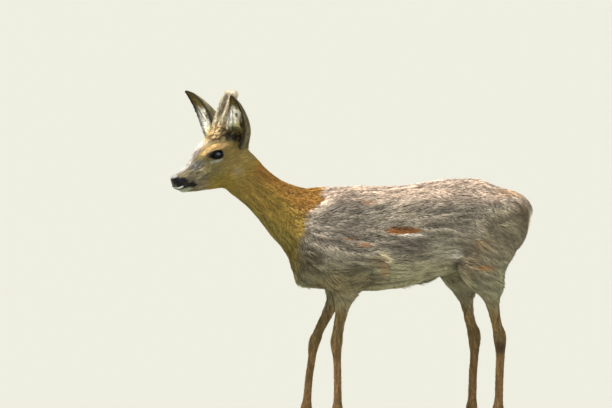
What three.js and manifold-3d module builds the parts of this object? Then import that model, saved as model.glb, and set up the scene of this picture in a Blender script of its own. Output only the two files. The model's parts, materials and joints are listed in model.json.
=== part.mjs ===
// A life-size model of a young roebuck standing still, its head turned to its left.
// Millimetres, +Z up, the animal faces -X and the floor is Z = 0. Sizes run out to the tips of the coat.
import * as THREE from "three";
import { mergeVertices } from "three/addons/utils/BufferGeometryUtils.js";
import Module from "manifold-3d";

const wasm = await Module();
wasm.setup();

// Driving dimensions. Every table below is written for WITHERS_HEIGHT and the head's own lengths.
const WITHERS_HEIGHT = 630; // floor to the top of the shoulder
const HEAD_TURN = THREE.MathUtils.degToRad(27); // towards the animal's left
const HEAD_DROP = THREE.MathUtils.degToRad(26); // muzzle below the level of the skull's axis
const NOSE_TIP = new THREE.Vector3(-445, -94, 650);
const EYE_RADIUS = 14.5;
const EYE_PLACE = { back: 127, out: 31.5, up: 8 }; // eyeball's centre, from the nose tip
const EAR_LENGTH = 165; // from deep in its root to its tip
const ANTLER_LENGTH = 111; // from inside the brow to its tip
const GAP = 0.3; // thin cut between neighbouring pieces
const FAR_SIDE = 1; // the animal's right side lies at +Y
const NEAR_SIDE = -1;

const v3 = (x, y, z) => new THREE.Vector3(x, y, z);
const BODY_FRAME = new THREE.Matrix4();

// A frame whose X, Y and Z axes are the three directions given, at a point.
function frameOf(origin, x, y, z) {
  return new THREE.Matrix4().makeBasis(x, y, z).setPosition(origin);
}

// The skull's frame: X runs back from the nose tip, Y to the animal's right, Z up.
const headForward = v3(
  -Math.cos(HEAD_TURN) * Math.cos(HEAD_DROP),
  -Math.sin(HEAD_TURN) * Math.cos(HEAD_DROP),
  -Math.sin(HEAD_DROP),
);
const headRight = v3(-Math.sin(HEAD_TURN), Math.cos(HEAD_TURN), 0);
const headUp = headRight.clone().cross(headForward);
const headBack = headForward.clone().negate();
const HEAD_FRAME = frameOf(NOSE_TIP, headBack, headRight, headUp);

// The neck's frame: X runs from the chest to the skull, Z towards the nape.
const NECK_RISE = THREE.MathUtils.degToRad(40);
const neckAlong = v3(-Math.cos(NECK_RISE), 0, Math.sin(NECK_RISE));
const neckLeft = v3(0, -1, 0);
const neckNape = neckAlong.clone().cross(neckLeft);
const NECK_FRAME = frameOf(v3(-100, 0, 520), neckAlong, neckLeft, neckNape);

const toHead = HEAD_FRAME.clone().invert();
const toNeck = NECK_FRAME.clone().invert();

// Smooth curve through the rows of a table of sizes, read at any place along it.
function smoothTable(rows) {
  const at = rows.map((row) => row[0]);
  const slopes = rows.map((row, i) => {
    const before = rows[Math.max(i - 1, 0)];
    const after = rows[Math.min(i + 1, rows.length - 1)];
    return row.map((_, k) => (after[k] - before[k]) / (after[0] - before[0]));
  });
  return (place) => {
    const t = THREE.MathUtils.clamp(place, at[0], at[at.length - 1]);
    let i = 0;
    while (i < rows.length - 2 && t > at[i + 1]) i += 1;
    const span = at[i + 1] - at[i];
    const s = (t - at[i]) / span;
    const [a, b] = [rows[i], rows[i + 1]];
    return a.map((value, k) => {
      if (k === 0) return t;
      const leave = (1 - s) ** 2 * s * slopes[i][k];
      const arrive = (1 - s) * s * s * slopes[i + 1][k];
      return value + (b[k] - value) * s * s * (3 - 2 * s) + (leave - arrive) * span;
    });
  };
}

// How far a point of an oval section lies outside it. The oval has its own top, bottom and squareness.
function outsideOval(side, height, { low, middle, high, half, top = 2, bottom = 2 }) {
  const rise = height - middle;
  const reach = rise > 0 ? high - middle : middle - low;
  const power = rise > 0 ? top : bottom;
  const far = Math.hypot(side, rise);
  if (far < 1e-6) return -Math.min(half, reach);
  const sum = Math.abs(side / half) ** power + Math.abs(rise / reach) ** power;
  return far * (1 - 1 / sum ** (1 / power));
}

// Adds the way past a form's end to how far outside its last section a point is.
function pastEnd(outside, past) {
  if (past === 0) return outside;
  return outside > 0 ? Math.hypot(outside, past) : Math.max(outside, past);
}

// Two fleshy forms run into each other over a soft width.
function blend(a, b, width) {
  const share = Math.max(width - Math.abs(a - b), 0) / width;
  return Math.min(a, b) - share * share * width * 0.25;
}

// A rounded muscle, its length and lean given in the side view.
function muscle({ at, reach, lean = 0 }) {
  const [cos, sin] = [Math.cos(lean), Math.sin(lean)];
  const shortest = Math.min(...reach);
  return (p) => {
    const [dx, dy, dz] = [p.x - at[0], p.y - at[1], p.z - at[2]];
    const along = (dx * cos + dz * sin) / reach[0];
    const up = (dz * cos - dx * sin) / reach[2];
    return (Math.hypot(along, dy / reach[1], up) - 1) * shortest;
  };
}

// Trunk: place along X, then the section's low, middle and high levels and its half width.
const TRUNK = [
  [-146, 424, 455, 490, 26],
  [-132, 396, 455, 560, 54],
  [-100, 380, 462, 612, 74],
  [-55, 371, 468, 629, 87],
  [0, 367, 472, 634, 95],
  [70, 369, 478, 633, 102],
  [140, 379, 484, 637, 104],
  [210, 399, 495, 647, 99],
  [275, 420, 510, 654, 93],
  [320, 436, 524, 653, 88],
  [374, 452, 536, 633, 80],
  [418, 470, 545, 619, 66],
  [440, 500, 556, 606, 48],
  [453, 545, 566, 584, 22],
];
// Neck, in its own frame: place, low, middle, high, half width, and how far it swings to the left.
const NECK = [
  [-60, -92, -16, 70, 60, 0],
  [-20, -86, -12, 92, 68, 0],
  [30, -79, -8, 100, 63, 0],
  [58, -75, -4, 88, 55, 0],
  [80, -71, 0, 75, 50, 1],
  [105, -65, 0, 63, 46, 2],
  [130, -60, 0, 55, 43, 4],
  [160, -56, 0, 51, 40, 6],
  [190, -56, 0, 51, 39, 9],
  [222, -56, 2, 55, 39, 13],
  [245, -50, 4, 54, 35, 17],
  [262, -28, 6, 34, 22, 20],
];
// Skull and jaw, in the head's frame: place back from the nose tip, low, middle, high, half width.
const HEAD = [
  [0, -13, -5, 3, 7],
  [4, -26, -9, 7, 14],
  [12, -41, -13, 9, 19],
  [26, -49, -18, 9.5, 21],
  [46, -57, -20, 14, 22.5],
  [66, -63, -19, 23, 26],
  [88, -71, -15, 34, 32],
  [108, -78, -9, 43, 37],
  [130, -84, -3, 51, 40],
  [152, -83, 1, 57, 39.5],
  [176, -72, 4, 58, 38],
  [200, -50, 5, 52, 34],
  [222, -28, 7, 38, 25],
  [234, -4, 8, 20, 12],
];

const trunkAt = smoothTable(TRUNK);
const neckAt = smoothTable(NECK);
const headAt = smoothTable(HEAD);

function trunkFlesh(p) {
  const [x, low, middle, high, half] = trunkAt(p.x);
  const oval = { low, middle, high, half, top: 2.05, bottom: 1.9 };
  return pastEnd(outsideOval(p.y, p.z, oval), Math.abs(p.x - x));
}

function neckFlesh(p) {
  const q = p.clone().applyMatrix4(toNeck);
  const [x, low, middle, high, half, swing] = neckAt(q.x);
  return pastEnd(outsideOval(q.y - swing, q.z, { low, middle, high, half }), Math.abs(q.x - x));
}

// Brow ridges over the eyes, cheekbones below them and the pads of the upper lip, each mirrored.
const HEAD_PADS = [
  { at: [119, 33, 25], reach: [27, 9, 9], lean: 0.35 },
  { at: [104, 32, -12], reach: [30, 9, 11], lean: 0.3 },
  { at: [150, 27, -38], reach: [30, 12, 26], lean: 0.2 },
  { at: [17, 13, -19], reach: [17, 9.5, 11], lean: 0.25 },
  { at: [192, 30, 12], reach: [22, 15, 24], lean: -0.2 },
].map((pad) => muscle(pad));

function headFlesh(p) {
  const q = p.clone().applyMatrix4(toHead);
  const [x, low, middle, high, half] = headAt(q.x);
  const oval = { low, middle, high, half, top: 2.2, bottom: 1.75 };
  let outside = pastEnd(outsideOval(q.y, q.z, oval), Math.abs(q.x - x));
  const mirrored = v3(q.x, Math.abs(q.y), q.z);
  for (const pad of HEAD_PADS) outside = blend(outside, pad(mirrored), 12);
  return outside;
}

// A leg's sections by height: height, reach forward and back of its centre line, and half width.
const FORELEG = [
  [22, 15, 13.5, 14.5],
  [36, 14, 12.5, 13.5],
  [52, 13, 12.5, 12.5],
  [66, 14, 16.5, 13],
  [78, 14.5, 14.5, 13],
  [96, 11.5, 11, 10],
  [150, 10.5, 10.5, 9.2],
  [205, 11, 11, 10.5],
  [226, 14.5, 13, 14],
  [246, 16.5, 15.5, 15],
  [266, 14.5, 14.5, 13],
  [300, 16.5, 17, 14],
  [337, 20, 22, 18],
  [366, 30, 38, 24],
  [392, 44, 48, 29],
  [425, 56, 54, 33],
];
const HINDLEG = [
  [22, 15, 13.5, 14.5],
  [36, 14, 12.5, 13.5],
  [52, 13.5, 12.5, 12.5],
  [66, 14.5, 16.5, 13],
  [78, 15, 15, 13],
  [98, 12, 11.5, 10.5],
  [160, 11, 11.5, 9.8],
  [212, 12, 12, 11],
  [236, 15.5, 14.5, 14],
  [256, 17, 17.5, 14.5],
  [272, 15, 19, 12.5],
  [290, 14, 15.5, 11.5],
  [320, 18, 16, 14],
  [350, 26, 22, 20],
  [385, 46, 47, 30],
  [420, 62, 62, 38],
  [460, 74, 74, 42],
  [510, 76, 79, 42],
  [560, 60, 66, 34],
];
// Centre lines through the joints: height, X, and how far the joint stands out from the midline.
const LEGS = {
  foreleg_left: {
    side: NEAR_SIDE,
    flesh: FORELEG,
    joints: [
      [24, -50, 44],
      [50, -41, 44],
      [72, -32, 45],
      [160, -31, 46],
      [246, -33, 49],
      [300, -26, 54],
      [350, -16, 60],
      [425, -12, 64],
    ],
  },
  foreleg_right: {
    side: FAR_SIDE,
    flesh: FORELEG,
    joints: [
      [24, -128, 42],
      [50, -119, 42],
      [72, -110, 43],
      [160, -101, 45],
      [246, -86, 48],
      [300, -62, 54],
      [350, -38, 60],
      [425, -12, 64],
    ],
  },
  hindleg_left: {
    side: NEAR_SIDE,
    flesh: HINDLEG,
    joints: [
      [24, 350, 48],
      [50, 359, 48],
      [72, 369, 49],
      [160, 373, 50],
      [246, 375, 51],
      [290, 365, 53],
      [350, 354, 58],
      [420, 328, 58],
      [460, 336, 54],
      [510, 350, 48],
      [560, 366, 40],
    ],
  },
  hindleg_right: {
    side: FAR_SIDE,
    flesh: HINDLEG,
    joints: [
      [24, 286, 46],
      [50, 295, 46],
      [72, 305, 47],
      [160, 309, 49],
      [246, 313, 51],
      [290, 302, 53],
      [350, 292, 58],
      [420, 277, 58],
      [460, 300, 54],
      [510, 330, 48],
      [560, 356, 40],
    ],
  },
};

function legFlesh({ side, flesh, joints }) {
  const sectionAt = smoothTable(flesh);
  const jointAt = smoothTable(joints);
  return (p) => {
    const [z, fore, aft, half] = sectionAt(p.z);
    const [, x, out] = jointAt(p.z);
    const oval = { low: -fore, middle: 0, high: aft, half };
    return pastEnd(outsideOval(p.y - side * out, p.x - x, oval), Math.abs(p.z - z));
  };
}

const legFields = {};
for (const [name, leg] of Object.entries(LEGS)) legFields[name] = legFlesh(leg);

// Muscles that show on the trunk: shoulder blade, upper arm, point of the shoulder, breast and haunch.
const TRUNK_MUSCLES = [
  { at: [-48, 64, 500], reach: [46, 27, 104], lean: -0.25 },
  { at: [-12, 66, 428], reach: [52, 26, 44], lean: 0.3 },
  { at: [-96, 52, 447], reach: [34, 24, 34], lean: 0 },
  { at: [-92, 18, 408], reach: [46, 26, 22], lean: 0.35 },
  { at: [392, 46, 540], reach: [52, 36, 58], lean: 0.5 },
].map((form) => muscle(form));
const sheathFlesh = muscle({ at: [176, 0, 384], reach: [40, 9, 12], lean: 0.35 });

// The whole animal as one field: negative inside the coat, positive outside.
function flesh(p) {
  let outside = blend(trunkFlesh(p), neckFlesh(p), 34);
  outside = blend(outside, headFlesh(p), 16);
  const mirrored = v3(p.x, Math.abs(p.y), p.z);
  for (const form of TRUNK_MUSCLES) outside = blend(outside, form(mirrored), 26);
  outside = blend(outside, sheathFlesh(p), 14);
  const soft = p.z > 330 ? 22 : 6;
  for (const field of Object.values(legFields)) outside = blend(outside, field(p), soft);
  return outside;
}

// Skins a field over a box of a frame with one quad for each cell edge that the surface crosses.
function skinOf(field, frame, { low, high, step }) {
  const size = low.map((value, i) => Math.ceil((high[i] - value) / step[i]) + 1);
  const local = (p) => p.clone().applyMatrix4(frame);
  const pastBox = (p) => Math.max(...p.toArray().map((c, i) => Math.max(low[i] - c, c - high[i])));
  const value = (p) => Math.max(field(local(p)), pastBox(p) + 0.5 * step[0]);
  const corner = (...at) => v3(...at.map((n, i) => low[i] + n * step[i]));
  const index = (i, j, k) => (i * size[1] + j) * size[2] + k;
  const values = new Float32Array(size[0] * size[1] * size[2]);
  for (let i = 0; i < size[0]; i += 1)
    for (let j = 0; j < size[1]; j += 1)
      for (let k = 0; k < size[2]; k += 1) values[index(i, j, k)] = value(corner(i, j, k));

  // One point per cell that the surface crosses, pulled onto the surface along the field's slope.
  const points = [];
  const pointOf = new Map();
  const corners = [0, 1, 2, 3, 4, 5, 6, 7].map((n) => [n & 1, (n >> 1) & 1, n >> 2]);
  for (let i = 0; i < size[0] - 1; i += 1)
    for (let j = 0; j < size[1] - 1; j += 1)
      for (let k = 0; k < size[2] - 1; k += 1) {
        const inside = corners.map(([a, b, c]) => values[index(i + a, j + b, k + c)]);
        if (inside.every((x) => x < 0) || inside.every((x) => x >= 0)) continue;
        const point = v3(0, 0, 0);
        let crossings = 0;
        for (let n = 0; n < 8; n += 1)
          for (const bit of [1, 2, 4]) {
            const m = n | bit;
            if (m === n || inside[n] < 0 === inside[m] < 0) continue;
            const share = inside[n] / (inside[n] - inside[m]);
            const [from, to] = [corners[n], corners[m]];
            point.add(v3(...from.map((c, axis) => c + (to[axis] - c) * share)));
            crossings += 1;
          }
        point.divideScalar(crossings).multiply(v3(...step)).add(corner(i, j, k));
        pullOn(point, value, Math.min(...step));
        pointOf.set(index(i, j, k), points.length / 3);
        points.push(...local(point).toArray());
      }

  const faces = [];
  for (let i = 0; i < size[0] - 1; i += 1)
    for (let j = 0; j < size[1] - 1; j += 1)
      for (let k = 0; k < size[2] - 1; k += 1)
        for (let axis = 0; axis < 3; axis += 1) {
          const next = [i, j, k].map((n, a) => n + (a === axis ? 1 : 0));
          const from = values[index(i, j, k)] < 0;
          if (from === values[index(...next)] < 0) continue;
          const [b, c] = [(axis + 1) % 3, (axis + 2) % 3];
          const ring = [[0, 0], [1, 0], [1, 1], [0, 1]].map(([db, dc]) => {
            const cell = [i, j, k];
            cell[b] -= 1 - db;
            cell[c] -= 1 - dc;
            return pointOf.get(index(...cell));
          });
          if (!from) ring.reverse();
          faces.push(ring[0], ring[1], ring[2], ring[0], ring[2], ring[3]);
        }
  const geometry = new THREE.BufferGeometry();
  geometry.setAttribute("position", new THREE.Float32BufferAttribute(points, 3));
  geometry.setIndex(faces);
  return geometry;
}

function pullOn(point, value, reach) {
  const e = 0.5;
  const start = point.clone();
  for (let round = 0; round < 3; round += 1) {
    const here = value(point);
    const slope = v3(
      value(point.clone().add(v3(e, 0, 0))) - value(point.clone().add(v3(-e, 0, 0))),
      value(point.clone().add(v3(0, e, 0))) - value(point.clone().add(v3(0, -e, 0))),
      value(point.clone().add(v3(0, 0, e))) - value(point.clone().add(v3(0, 0, -e))),
    ).divideScalar(2 * e);
    point.addScaledVector(slope, -here / Math.max(slope.lengthSq(), 0.25));
  }
  const moved = point.clone().sub(start);
  if (moved.length() > reach * 0.6) point.copy(start).addScaledVector(moved.normalize(), reach * 0.6);
}

// Closed geometry to a manifold solid and back. A mirrored form has its faces turned round.
function solidFrom(geometry) {
  const plain = geometry.clone();
  plain.deleteAttribute("normal");
  plain.deleteAttribute("uv");
  const merged = mergeVertices(plain, 1e-3);
  const triVerts = new Uint32Array(merged.index.array);
  const at = (n) => v3(0, 0, 0).fromBufferAttribute(merged.attributes.position, triVerts[n]);
  let volume = 0;
  for (let n = 0; n < triVerts.length; n += 3) volume += at(n).dot(at(n + 1).cross(at(n + 2)));
  if (volume < 0) triVerts.reverse();
  const vertProperties = new Float32Array(merged.attributes.position.array);
  return new wasm.Manifold(new wasm.Mesh({ numProp: 3, vertProperties, triVerts }));
}

function geometryFrom(solid) {
  const { numProp, vertProperties, triVerts, numVert } = solid.getMesh();
  const positions = new Float32Array(numVert * 3);
  for (let i = 0; i < numVert; i += 1) {
    const from = i * numProp;
    positions.set(vertProperties.subarray(from, from + 3), i * 3);
  }
  const geometry = new THREE.BufferGeometry();
  geometry.setAttribute("position", new THREE.BufferAttribute(positions, 3));
  geometry.setIndex(new THREE.BufferAttribute(triVerts, 1));
  return geometry;
}

// The largest piece of a solid, without slivers that a cut leaves.
function mainPiece(solid) {
  const larger = (best, piece) => (piece.volume() > best.volume() ? piece : best);
  return solid.decompose().reduce(larger);
}

// A box in a frame, from its low to its high corner.
function block(frame, low, high) {
  const size = high.map((value, i) => value - low[i]);
  const centre = high.map((value, i) => (value + low[i]) / 2);
  return solidFrom(new THREE.BoxGeometry(...size).translate(...centre).applyMatrix4(frame));
}

// A closed cylinder whose points are moved by a function of the turn (0 to 1) and the height (0 to 1).
function moulded(around, along, place) {
  const geometry = new THREE.CylinderGeometry(1, 1, 1, around, along);
  const points = geometry.attributes.position;
  for (let i = 0; i < points.count; i += 1) {
    const [x, y, z] = [points.getX(i), points.getY(i), points.getZ(i)];
    const radius = Math.hypot(x, z);
    const turn = Math.atan2(x, z) / (2 * Math.PI);
    const moved = place(turn < 0 ? turn + 1 : turn, y + 0.5, radius);
    points.setXYZ(i, moved.x, moved.y, moved.z);
  }
  return geometry;
}

// ---- Hooves -------------------------------------------------------------------------------------
const HOOF = { length: 46, width: 14.6, heel: 17, front: 31, spread: 8.1, splay: 0.04, reach: 0.3, back: 9 };
const CORONET_SLOPE = (HOOF.front - HOOF.heel) / (2 * HOOF.reach * HOOF.length);
const DEWCLAW = { length: 15, width: 10.5, out: 8, height: 66, back: 10.5 };

// A claw: a pointed sole on the floor, tapering up to the sloping line where the hair begins.
function hoofGeometry(x, y, splay) {
  const solid = moulded(14, 2, (turn, height, radius) => {
    const angle = turn * 2 * Math.PI;
    const [ahead, across] = [-Math.cos(angle), Math.sin(angle)];
    const point = ahead < 0 ? 1 - 0.42 * ahead * ahead : 1;
    const shrink = 1 - 0.16 * height;
    const along = ahead * HOOF.length * THREE.MathUtils.lerp(0.5, HOOF.reach, height) * radius;
    const side = across * point * HOOF.width * 0.5 * shrink * radius;
    const level = THREE.MathUtils.lerp(HOOF.heel, HOOF.front, (1 - ahead * radius) / 2);
    return v3(along + HOOF.back * height, side, height * level);
  });
  return solid.rotateZ(splay).translate(x, y, 0);
}

function dewclawGeometry(x, y, z, out) {
  const solid = moulded(6, 1, (turn, height, radius) => {
    const angle = turn * 2 * Math.PI;
    const taper = (1 - 0.55 * height * height) * radius * DEWCLAW.width * 0.5;
    return v3(Math.cos(angle) * taper, Math.sin(angle) * taper * 0.8, height * DEWCLAW.length);
  });
  return solid.rotateY(2.7).rotateZ(out * -0.25).translate(x, y, z);
}

// ---- Ears, antlers and eyes ---------------------------------------------------------------------
// An ear is a leaf rolled into a cup: at each height an arc of its own width and curl.
const EAR_HALF_WIDTH = smoothTable([
  [0, 30],
  [0.12, 45],
  [0.25, 53],
  [0.4, 49],
  [0.55, 41],
  [0.7, 31],
  [0.82, 22],
  [0.91, 14],
  [0.97, 7],
  [1, 2.5],
]);
const EAR_CURL = smoothTable([
  [0, 2.7],
  [0.12, 2.25],
  [0.25, 1.8],
  [0.4, 1.5],
  [0.6, 1.25],
  [0.8, 1],
  [1, 0.8],
]);
const EAR_DEPTH = 1.2; // the cup is deeper than it is wide
const EAR_WALL = 4.6;
// The ears are carried a little differently: root, aim along the ear, and turn of its opening outwards.
const EARS = {
  left: {
    side: NEAR_SIDE,
    root: { back: 206, out: 34, up: -6 },
    aim: { forward: 0.096, out: 0.454, up: 0.886 },
    turn: 0.08,
  },
  right: {
    side: FAR_SIDE,
    root: { back: 193, out: 31, up: 13 },
    aim: { forward: 0.09, out: 0.485, up: 0.87 },
    turn: -0.1,
  },
};

function earGeometry(frame) {
  const along = 11;
  const across = 7;
  const around = 2 * across;
  return moulded(around, along, (turn, height, radius) => {
    const [, half] = EAR_HALF_WIDTH(height);
    const [, curl] = EAR_CURL(height);
    const wall = EAR_WALL * (1 - 0.55 * height);
    const seat = Math.round(turn * around) % around;
    const outer = seat <= across;
    const share = outer ? (2 * seat) / across - 1 : 1 - (2 * (seat - across)) / across;
    const angle = share * curl;
    const bend = half / curl;
    const thin = 1 - 0.45 * share * share;
    const onEdge = seat === 0 || seat === across;
    const r = bend + (outer ? 0.5 : -0.5) * wall * (onEdge ? 0.15 : thin);
    const lean = 7 * Math.sin(Math.PI * height);
    const back = (reach) => EAR_DEPTH * (bend * 0.55 - reach) - lean;
    const point = v3(r * Math.sin(angle), back(r * Math.cos(angle)), height * EAR_LENGTH);
    const middle = v3(0, back(bend), height * EAR_LENGTH);
    return middle.lerp(point, radius);
  }).applyMatrix4(frame);
}

// A frame for an ear: Z along its length, Y towards the side it opens to.
function earFrame({ side, root, aim, turn }) {
  const origin = v3(root.back, side * root.out, root.up).applyMatrix4(HEAD_FRAME);
  const away = ({ forward, out, up }) => {
    const sum = headForward.clone().multiplyScalar(forward);
    return sum.addScaledVector(headRight, side * out).addScaledVector(headUp, up);
  };
  const length = away(aim).normalize();
  const open = away({ forward: Math.cos(turn), out: Math.sin(turn), up: 0 });
  open.addScaledVector(length, -open.dot(length)).normalize();
  return frameOf(origin, open.clone().cross(length), open, length);
}

// An antler in velvet: a stout spike, thick at its root, swollen and round at its tip.
function antlerGeometry(side, room) {
  const radiusAt = smoothTable([
    [0, 11],
    [0.15, 10.5],
    [0.35, 8.8],
    [0.6, 8.8],
    [0.8, 10.2],
    [0.92, 9.6],
    [0.98, 6],
    [1, 2],
  ]);
  const base = v3(166, side * 17.5, 52);
  const tip = v3(250, side * 16.5, 125);
  const along = tip.clone().sub(base).normalize();
  const across = v3(0, 1, 0);
  const front = across.clone().cross(along).normalize();
  return moulded(10, 10, (turn, height, radius) => {
    const angle = turn * 2 * Math.PI;
    const eased = 1 - (1 - height) ** 1.4;
    const r = radiusAt(eased)[1] + room;
    const knobs = 1 + 0.06 * Math.sin(5 * angle + 9 * eased) + 0.05 * Math.sin(23 * eased);
    const centre = base.clone().addScaledVector(along, eased * ANTLER_LENGTH);
    centre.addScaledVector(front, -3 * Math.sin(Math.PI * eased));
    centre.addScaledVector(across, Math.cos(angle) * r * knobs * radius);
    return centre.addScaledVector(front, -Math.sin(angle) * r * knobs * radius);
  }).applyMatrix4(HEAD_FRAME);
}

function eyeGeometry(side, radius) {
  const { back, out, up } = EYE_PLACE;
  const centre = v3(back, side * out, up).applyMatrix4(HEAD_FRAME);
  return new THREE.SphereGeometry(radius, 12, 7).translate(centre.x, centre.y, centre.z);
}

// ---- The pieces ---------------------------------------------------------------------------------
const COATS = {
  grey_coat: { color: 0x8b7a68, roughness: 0.9 },
  red_coat: { color: 0xa8652f, roughness: 0.85 },
  face_coat: { color: 0x93836a, roughness: 0.85 },
  leg_coat: { color: 0x8d6f4d, roughness: 0.85 },
  nose_skin: { color: 0x121010, roughness: 0.35 },
  velvet: { color: 0x9b8a70, roughness: 0.95 },
  hoof_horn: { color: 0x1b1815, roughness: 0.45 },
  eye: { color: 0x0b0908, roughness: 0.08 },
};
const materials = {};
for (const [name, look] of Object.entries(COATS))
  materials[name] = new THREE.MeshStandardMaterial({ metalness: 0, ...look });

const solids = new Map();
const finishes = new Map();
function keep(name, solid, finish) {
  solids.set(name, solid);
  finishes.set(name, finish);
}

// Hooves and dewclaws come first, because the legs are cut round them.
const footPieces = {};
for (const [name, { side, joints }] of Object.entries(LEGS)) {
  const [, footX, footOut] = joints[0];
  const pieces = [];
  for (const [word, out] of [["inner", -1], ["outer", 1]]) {
    const y = side * (footOut + out * HOOF.spread);
    const hoof = solidFrom(hoofGeometry(footX - HOOF.back, y, -side * out * HOOF.splay));
    const [, ankleX, ankleOut] = joints[2];
    const clawY = side * (ankleOut + out * DEWCLAW.out);
    const claw = solidFrom(dewclawGeometry(ankleX + DEWCLAW.back, clawY, DEWCLAW.height, side * out));
    keep(`hoof_${name}_${word}`, hoof, "hoof_horn");
    keep(`dewclaw_${name}_${word}`, claw, "hoof_horn");
    pieces.push(claw);
  }
  footPieces[name] = pieces;
}

// A solid with a thin gap cut round each of its neighbours.
function clearOf(solid, neighbours) {
  let left = solid;
  for (const neighbour of neighbours) {
    const box = neighbour.boundingBox();
    const centre = box.min.map((value, i) => (value + box.max[i]) / 2);
    const grow = box.min.map((value, i) => 1 + (2 * GAP) / (box.max[i] - value));
    const grown = neighbour.translate(centre.map((c) => -c)).scale(grow).translate(centre);
    left = left.subtract(grown);
  }
  return mainPiece(left);
}

// Skins a leg ring by ring round its centre line, from one height to another.
function limbGeometry({ side, joints }, field, around, levels, slope, reach) {
  const jointAt = smoothTable(joints);
  const geometry = moulded(around, levels.length - 1, (turn, height, radius) => {
    const z = levels[Math.round(height * (levels.length - 1))];
    const [, x, out] = jointAt(z);
    const centre = v3(x, side * out, z);
    const ray = v3(Math.cos(turn * 2 * Math.PI), Math.sin(turn * 2 * Math.PI), 0);
    const inside = (far) => field(centre.clone().addScaledVector(ray, far)) < 0;
    let far = 4;
    while (far < reach && inside(far)) far += 4;
    let near = far - 4;
    for (let round = 0; round < 10; round += 1) {
      const half = (near + far) / 2;
      if (inside(half)) near = half;
      else far = half;
    }
    const tilt = slope * Math.max(1 - (z - levels[0]) / 30, 0);
    const point = centre.addScaledVector(ray, near * radius);
    return point.setZ(z - tilt * (point.x - x));
  });
  return geometry;
}

// Where the legs leave the trunk, and where each divides at its carpus or hock.
const LEG_ZONES = {
  foreleg_left: { low: [-92, -120, 0], high: [56, -27, 398], divide: 246 },
  foreleg_right: { low: [-190, 27, 0], high: [56, 120, 398], divide: 246 },
  hindleg_left: { low: [246, -130, 0], high: [480, -8, 452], divide: 262 },
  hindleg_right: { low: [180, 8, 0], high: [480, 130, 452], divide: 262 },
};
const UPPER_LEVELS = {
  foreleg: [246, 262, 282, 304, 326, 342, 356, 369, 381, 392, 403],
  hindleg: [262, 280, 300, 322, 342, 358, 372, 386, 400, 414, 428, 442, 457],
};
const LOWER_LEVELS = {
  foreleg: [26, 40, 54, 68, 80, 96, 150, 205, 226, 246],
  hindleg: [26, 40, 54, 68, 80, 98, 155, 212, 236, 262],
};
const legBlocks = [];
for (const [name, { low, high, divide }] of Object.entries(LEG_ZONES)) {
  const [kind] = name.split("_");
  const leg = LEGS[name];
  const clearLow = low.map((value) => value - GAP);
  const clearHigh = high.map((value) => value + GAP);
  legBlocks.push(block(BODY_FRAME, clearLow, clearHigh));
  const upper = solidFrom(limbGeometry(leg, flesh, 14, UPPER_LEVELS[kind], 0, 200));
  const zone = block(BODY_FRAME, [low[0], low[1], divide + GAP / 2], high);
  keep(`${name}_upper`, mainPiece(upper.intersect(zone)), "leg_coat");
  const levels = [...LOWER_LEVELS[kind].slice(0, -1), divide - GAP / 2];
  const lower = solidFrom(limbGeometry(leg, legFields[name], 12, levels, CORONET_SLOPE, 60));
  keep(`${name}_lower`, clearOf(lower, footPieces[name]), "leg_coat");
}

// The trunk is parted from the neck by a sloping cut from the withers to the breast.
const NECK_START = 38;
const NECK_END = 214;
const neckZone = block(NECK_FRAME, [NECK_START, -200, -200], [700, 200, 240]);
const tailBall = new THREE.SphereGeometry(15, 12, 8).scale(1, 0.8, 1.25).translate(446, 0, 574);
const tail = solidFrom(tailBall);
const trunkBox = { low: [-225, -130, 330], high: [480, 130, 690], step: [32, 25, 26] };
let trunk = solidFrom(skinOf(flesh, BODY_FRAME, trunkBox)).subtract(neckZone);
for (const legBlock of legBlocks) trunk = trunk.subtract(legBlock);
trunk = mainPiece(trunk);
keep("tail", clearOf(tail, [trunk]), "grey_coat");
keep("trunk", trunk, "grey_coat");

// Eyes, antlers and ears are set into the skull, which is cut round them.
const skullRoom = [];
for (const [word, ear] of Object.entries(EARS)) {
  const { side } = ear;
  keep(`eye_${word}`, solidFrom(eyeGeometry(side, EYE_RADIUS)), "eye");
  keep(`antler_${word}`, solidFrom(antlerGeometry(side, 0)), "velvet");
  skullRoom.push(solidFrom(eyeGeometry(side, EYE_RADIUS + GAP)));
  skullRoom.push(solidFrom(antlerGeometry(side, 2 * GAP)));
}

const headBox = { low: [-13.2, -70, -112], high: [276, 70, 86], step: [13.4, 12.2, 12] };
const neckBox = { low: [NECK_START - 30, -110, -150], high: [290, 130, 150], step: [25, 21, 20] };
const noseBox = { low: [-10, -30, -32], high: [26, 30, 22], step: [6, 6, 6] };
const headNet = solidFrom(skinOf(flesh, HEAD_FRAME, headBox));
const neckNet = solidFrom(skinOf(flesh, NECK_FRAME, neckBox));
const headZone = block(NECK_FRAME, [NECK_END + GAP, -300, -300], [700, 300, 300]);
const NOSE_DEPTH = 13;
const NOSE_LOW = -21;
const noseZone = block(HEAD_FRAME, [-40, -60, NOSE_LOW], [NOSE_DEPTH, 60, 60]);
const noseRoom = block(HEAD_FRAME, [-40, -60, NOSE_LOW - GAP], [NOSE_DEPTH + GAP, 60, 60]);
const noseNet = solidFrom(skinOf(flesh, HEAD_FRAME, noseBox));
keep("nose", mainPiece(noseNet.intersect(noseZone)), "nose_skin");
const head = headNet.intersect(headZone).subtract(noseRoom);
function withoutFittings(solid) {
  return mainPiece(skullRoom.reduce((left, room) => left.subtract(room), solid));
}
for (const [word, ear] of Object.entries(EARS)) {
  const wholeEar = solidFrom(earGeometry(earFrame(ear)));
  keep(`ear_${word}`, withoutFittings(clearOf(wholeEar, [mainPiece(head)])), "face_coat");
}
keep("head", withoutFittings(head), "face_coat");
const neckOnly = block(NECK_FRAME, [NECK_START + GAP, -300, -300], [NECK_END, 300, 300]);
keep("neck", mainPiece(neckNet.intersect(neckOnly)), "red_coat");

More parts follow.
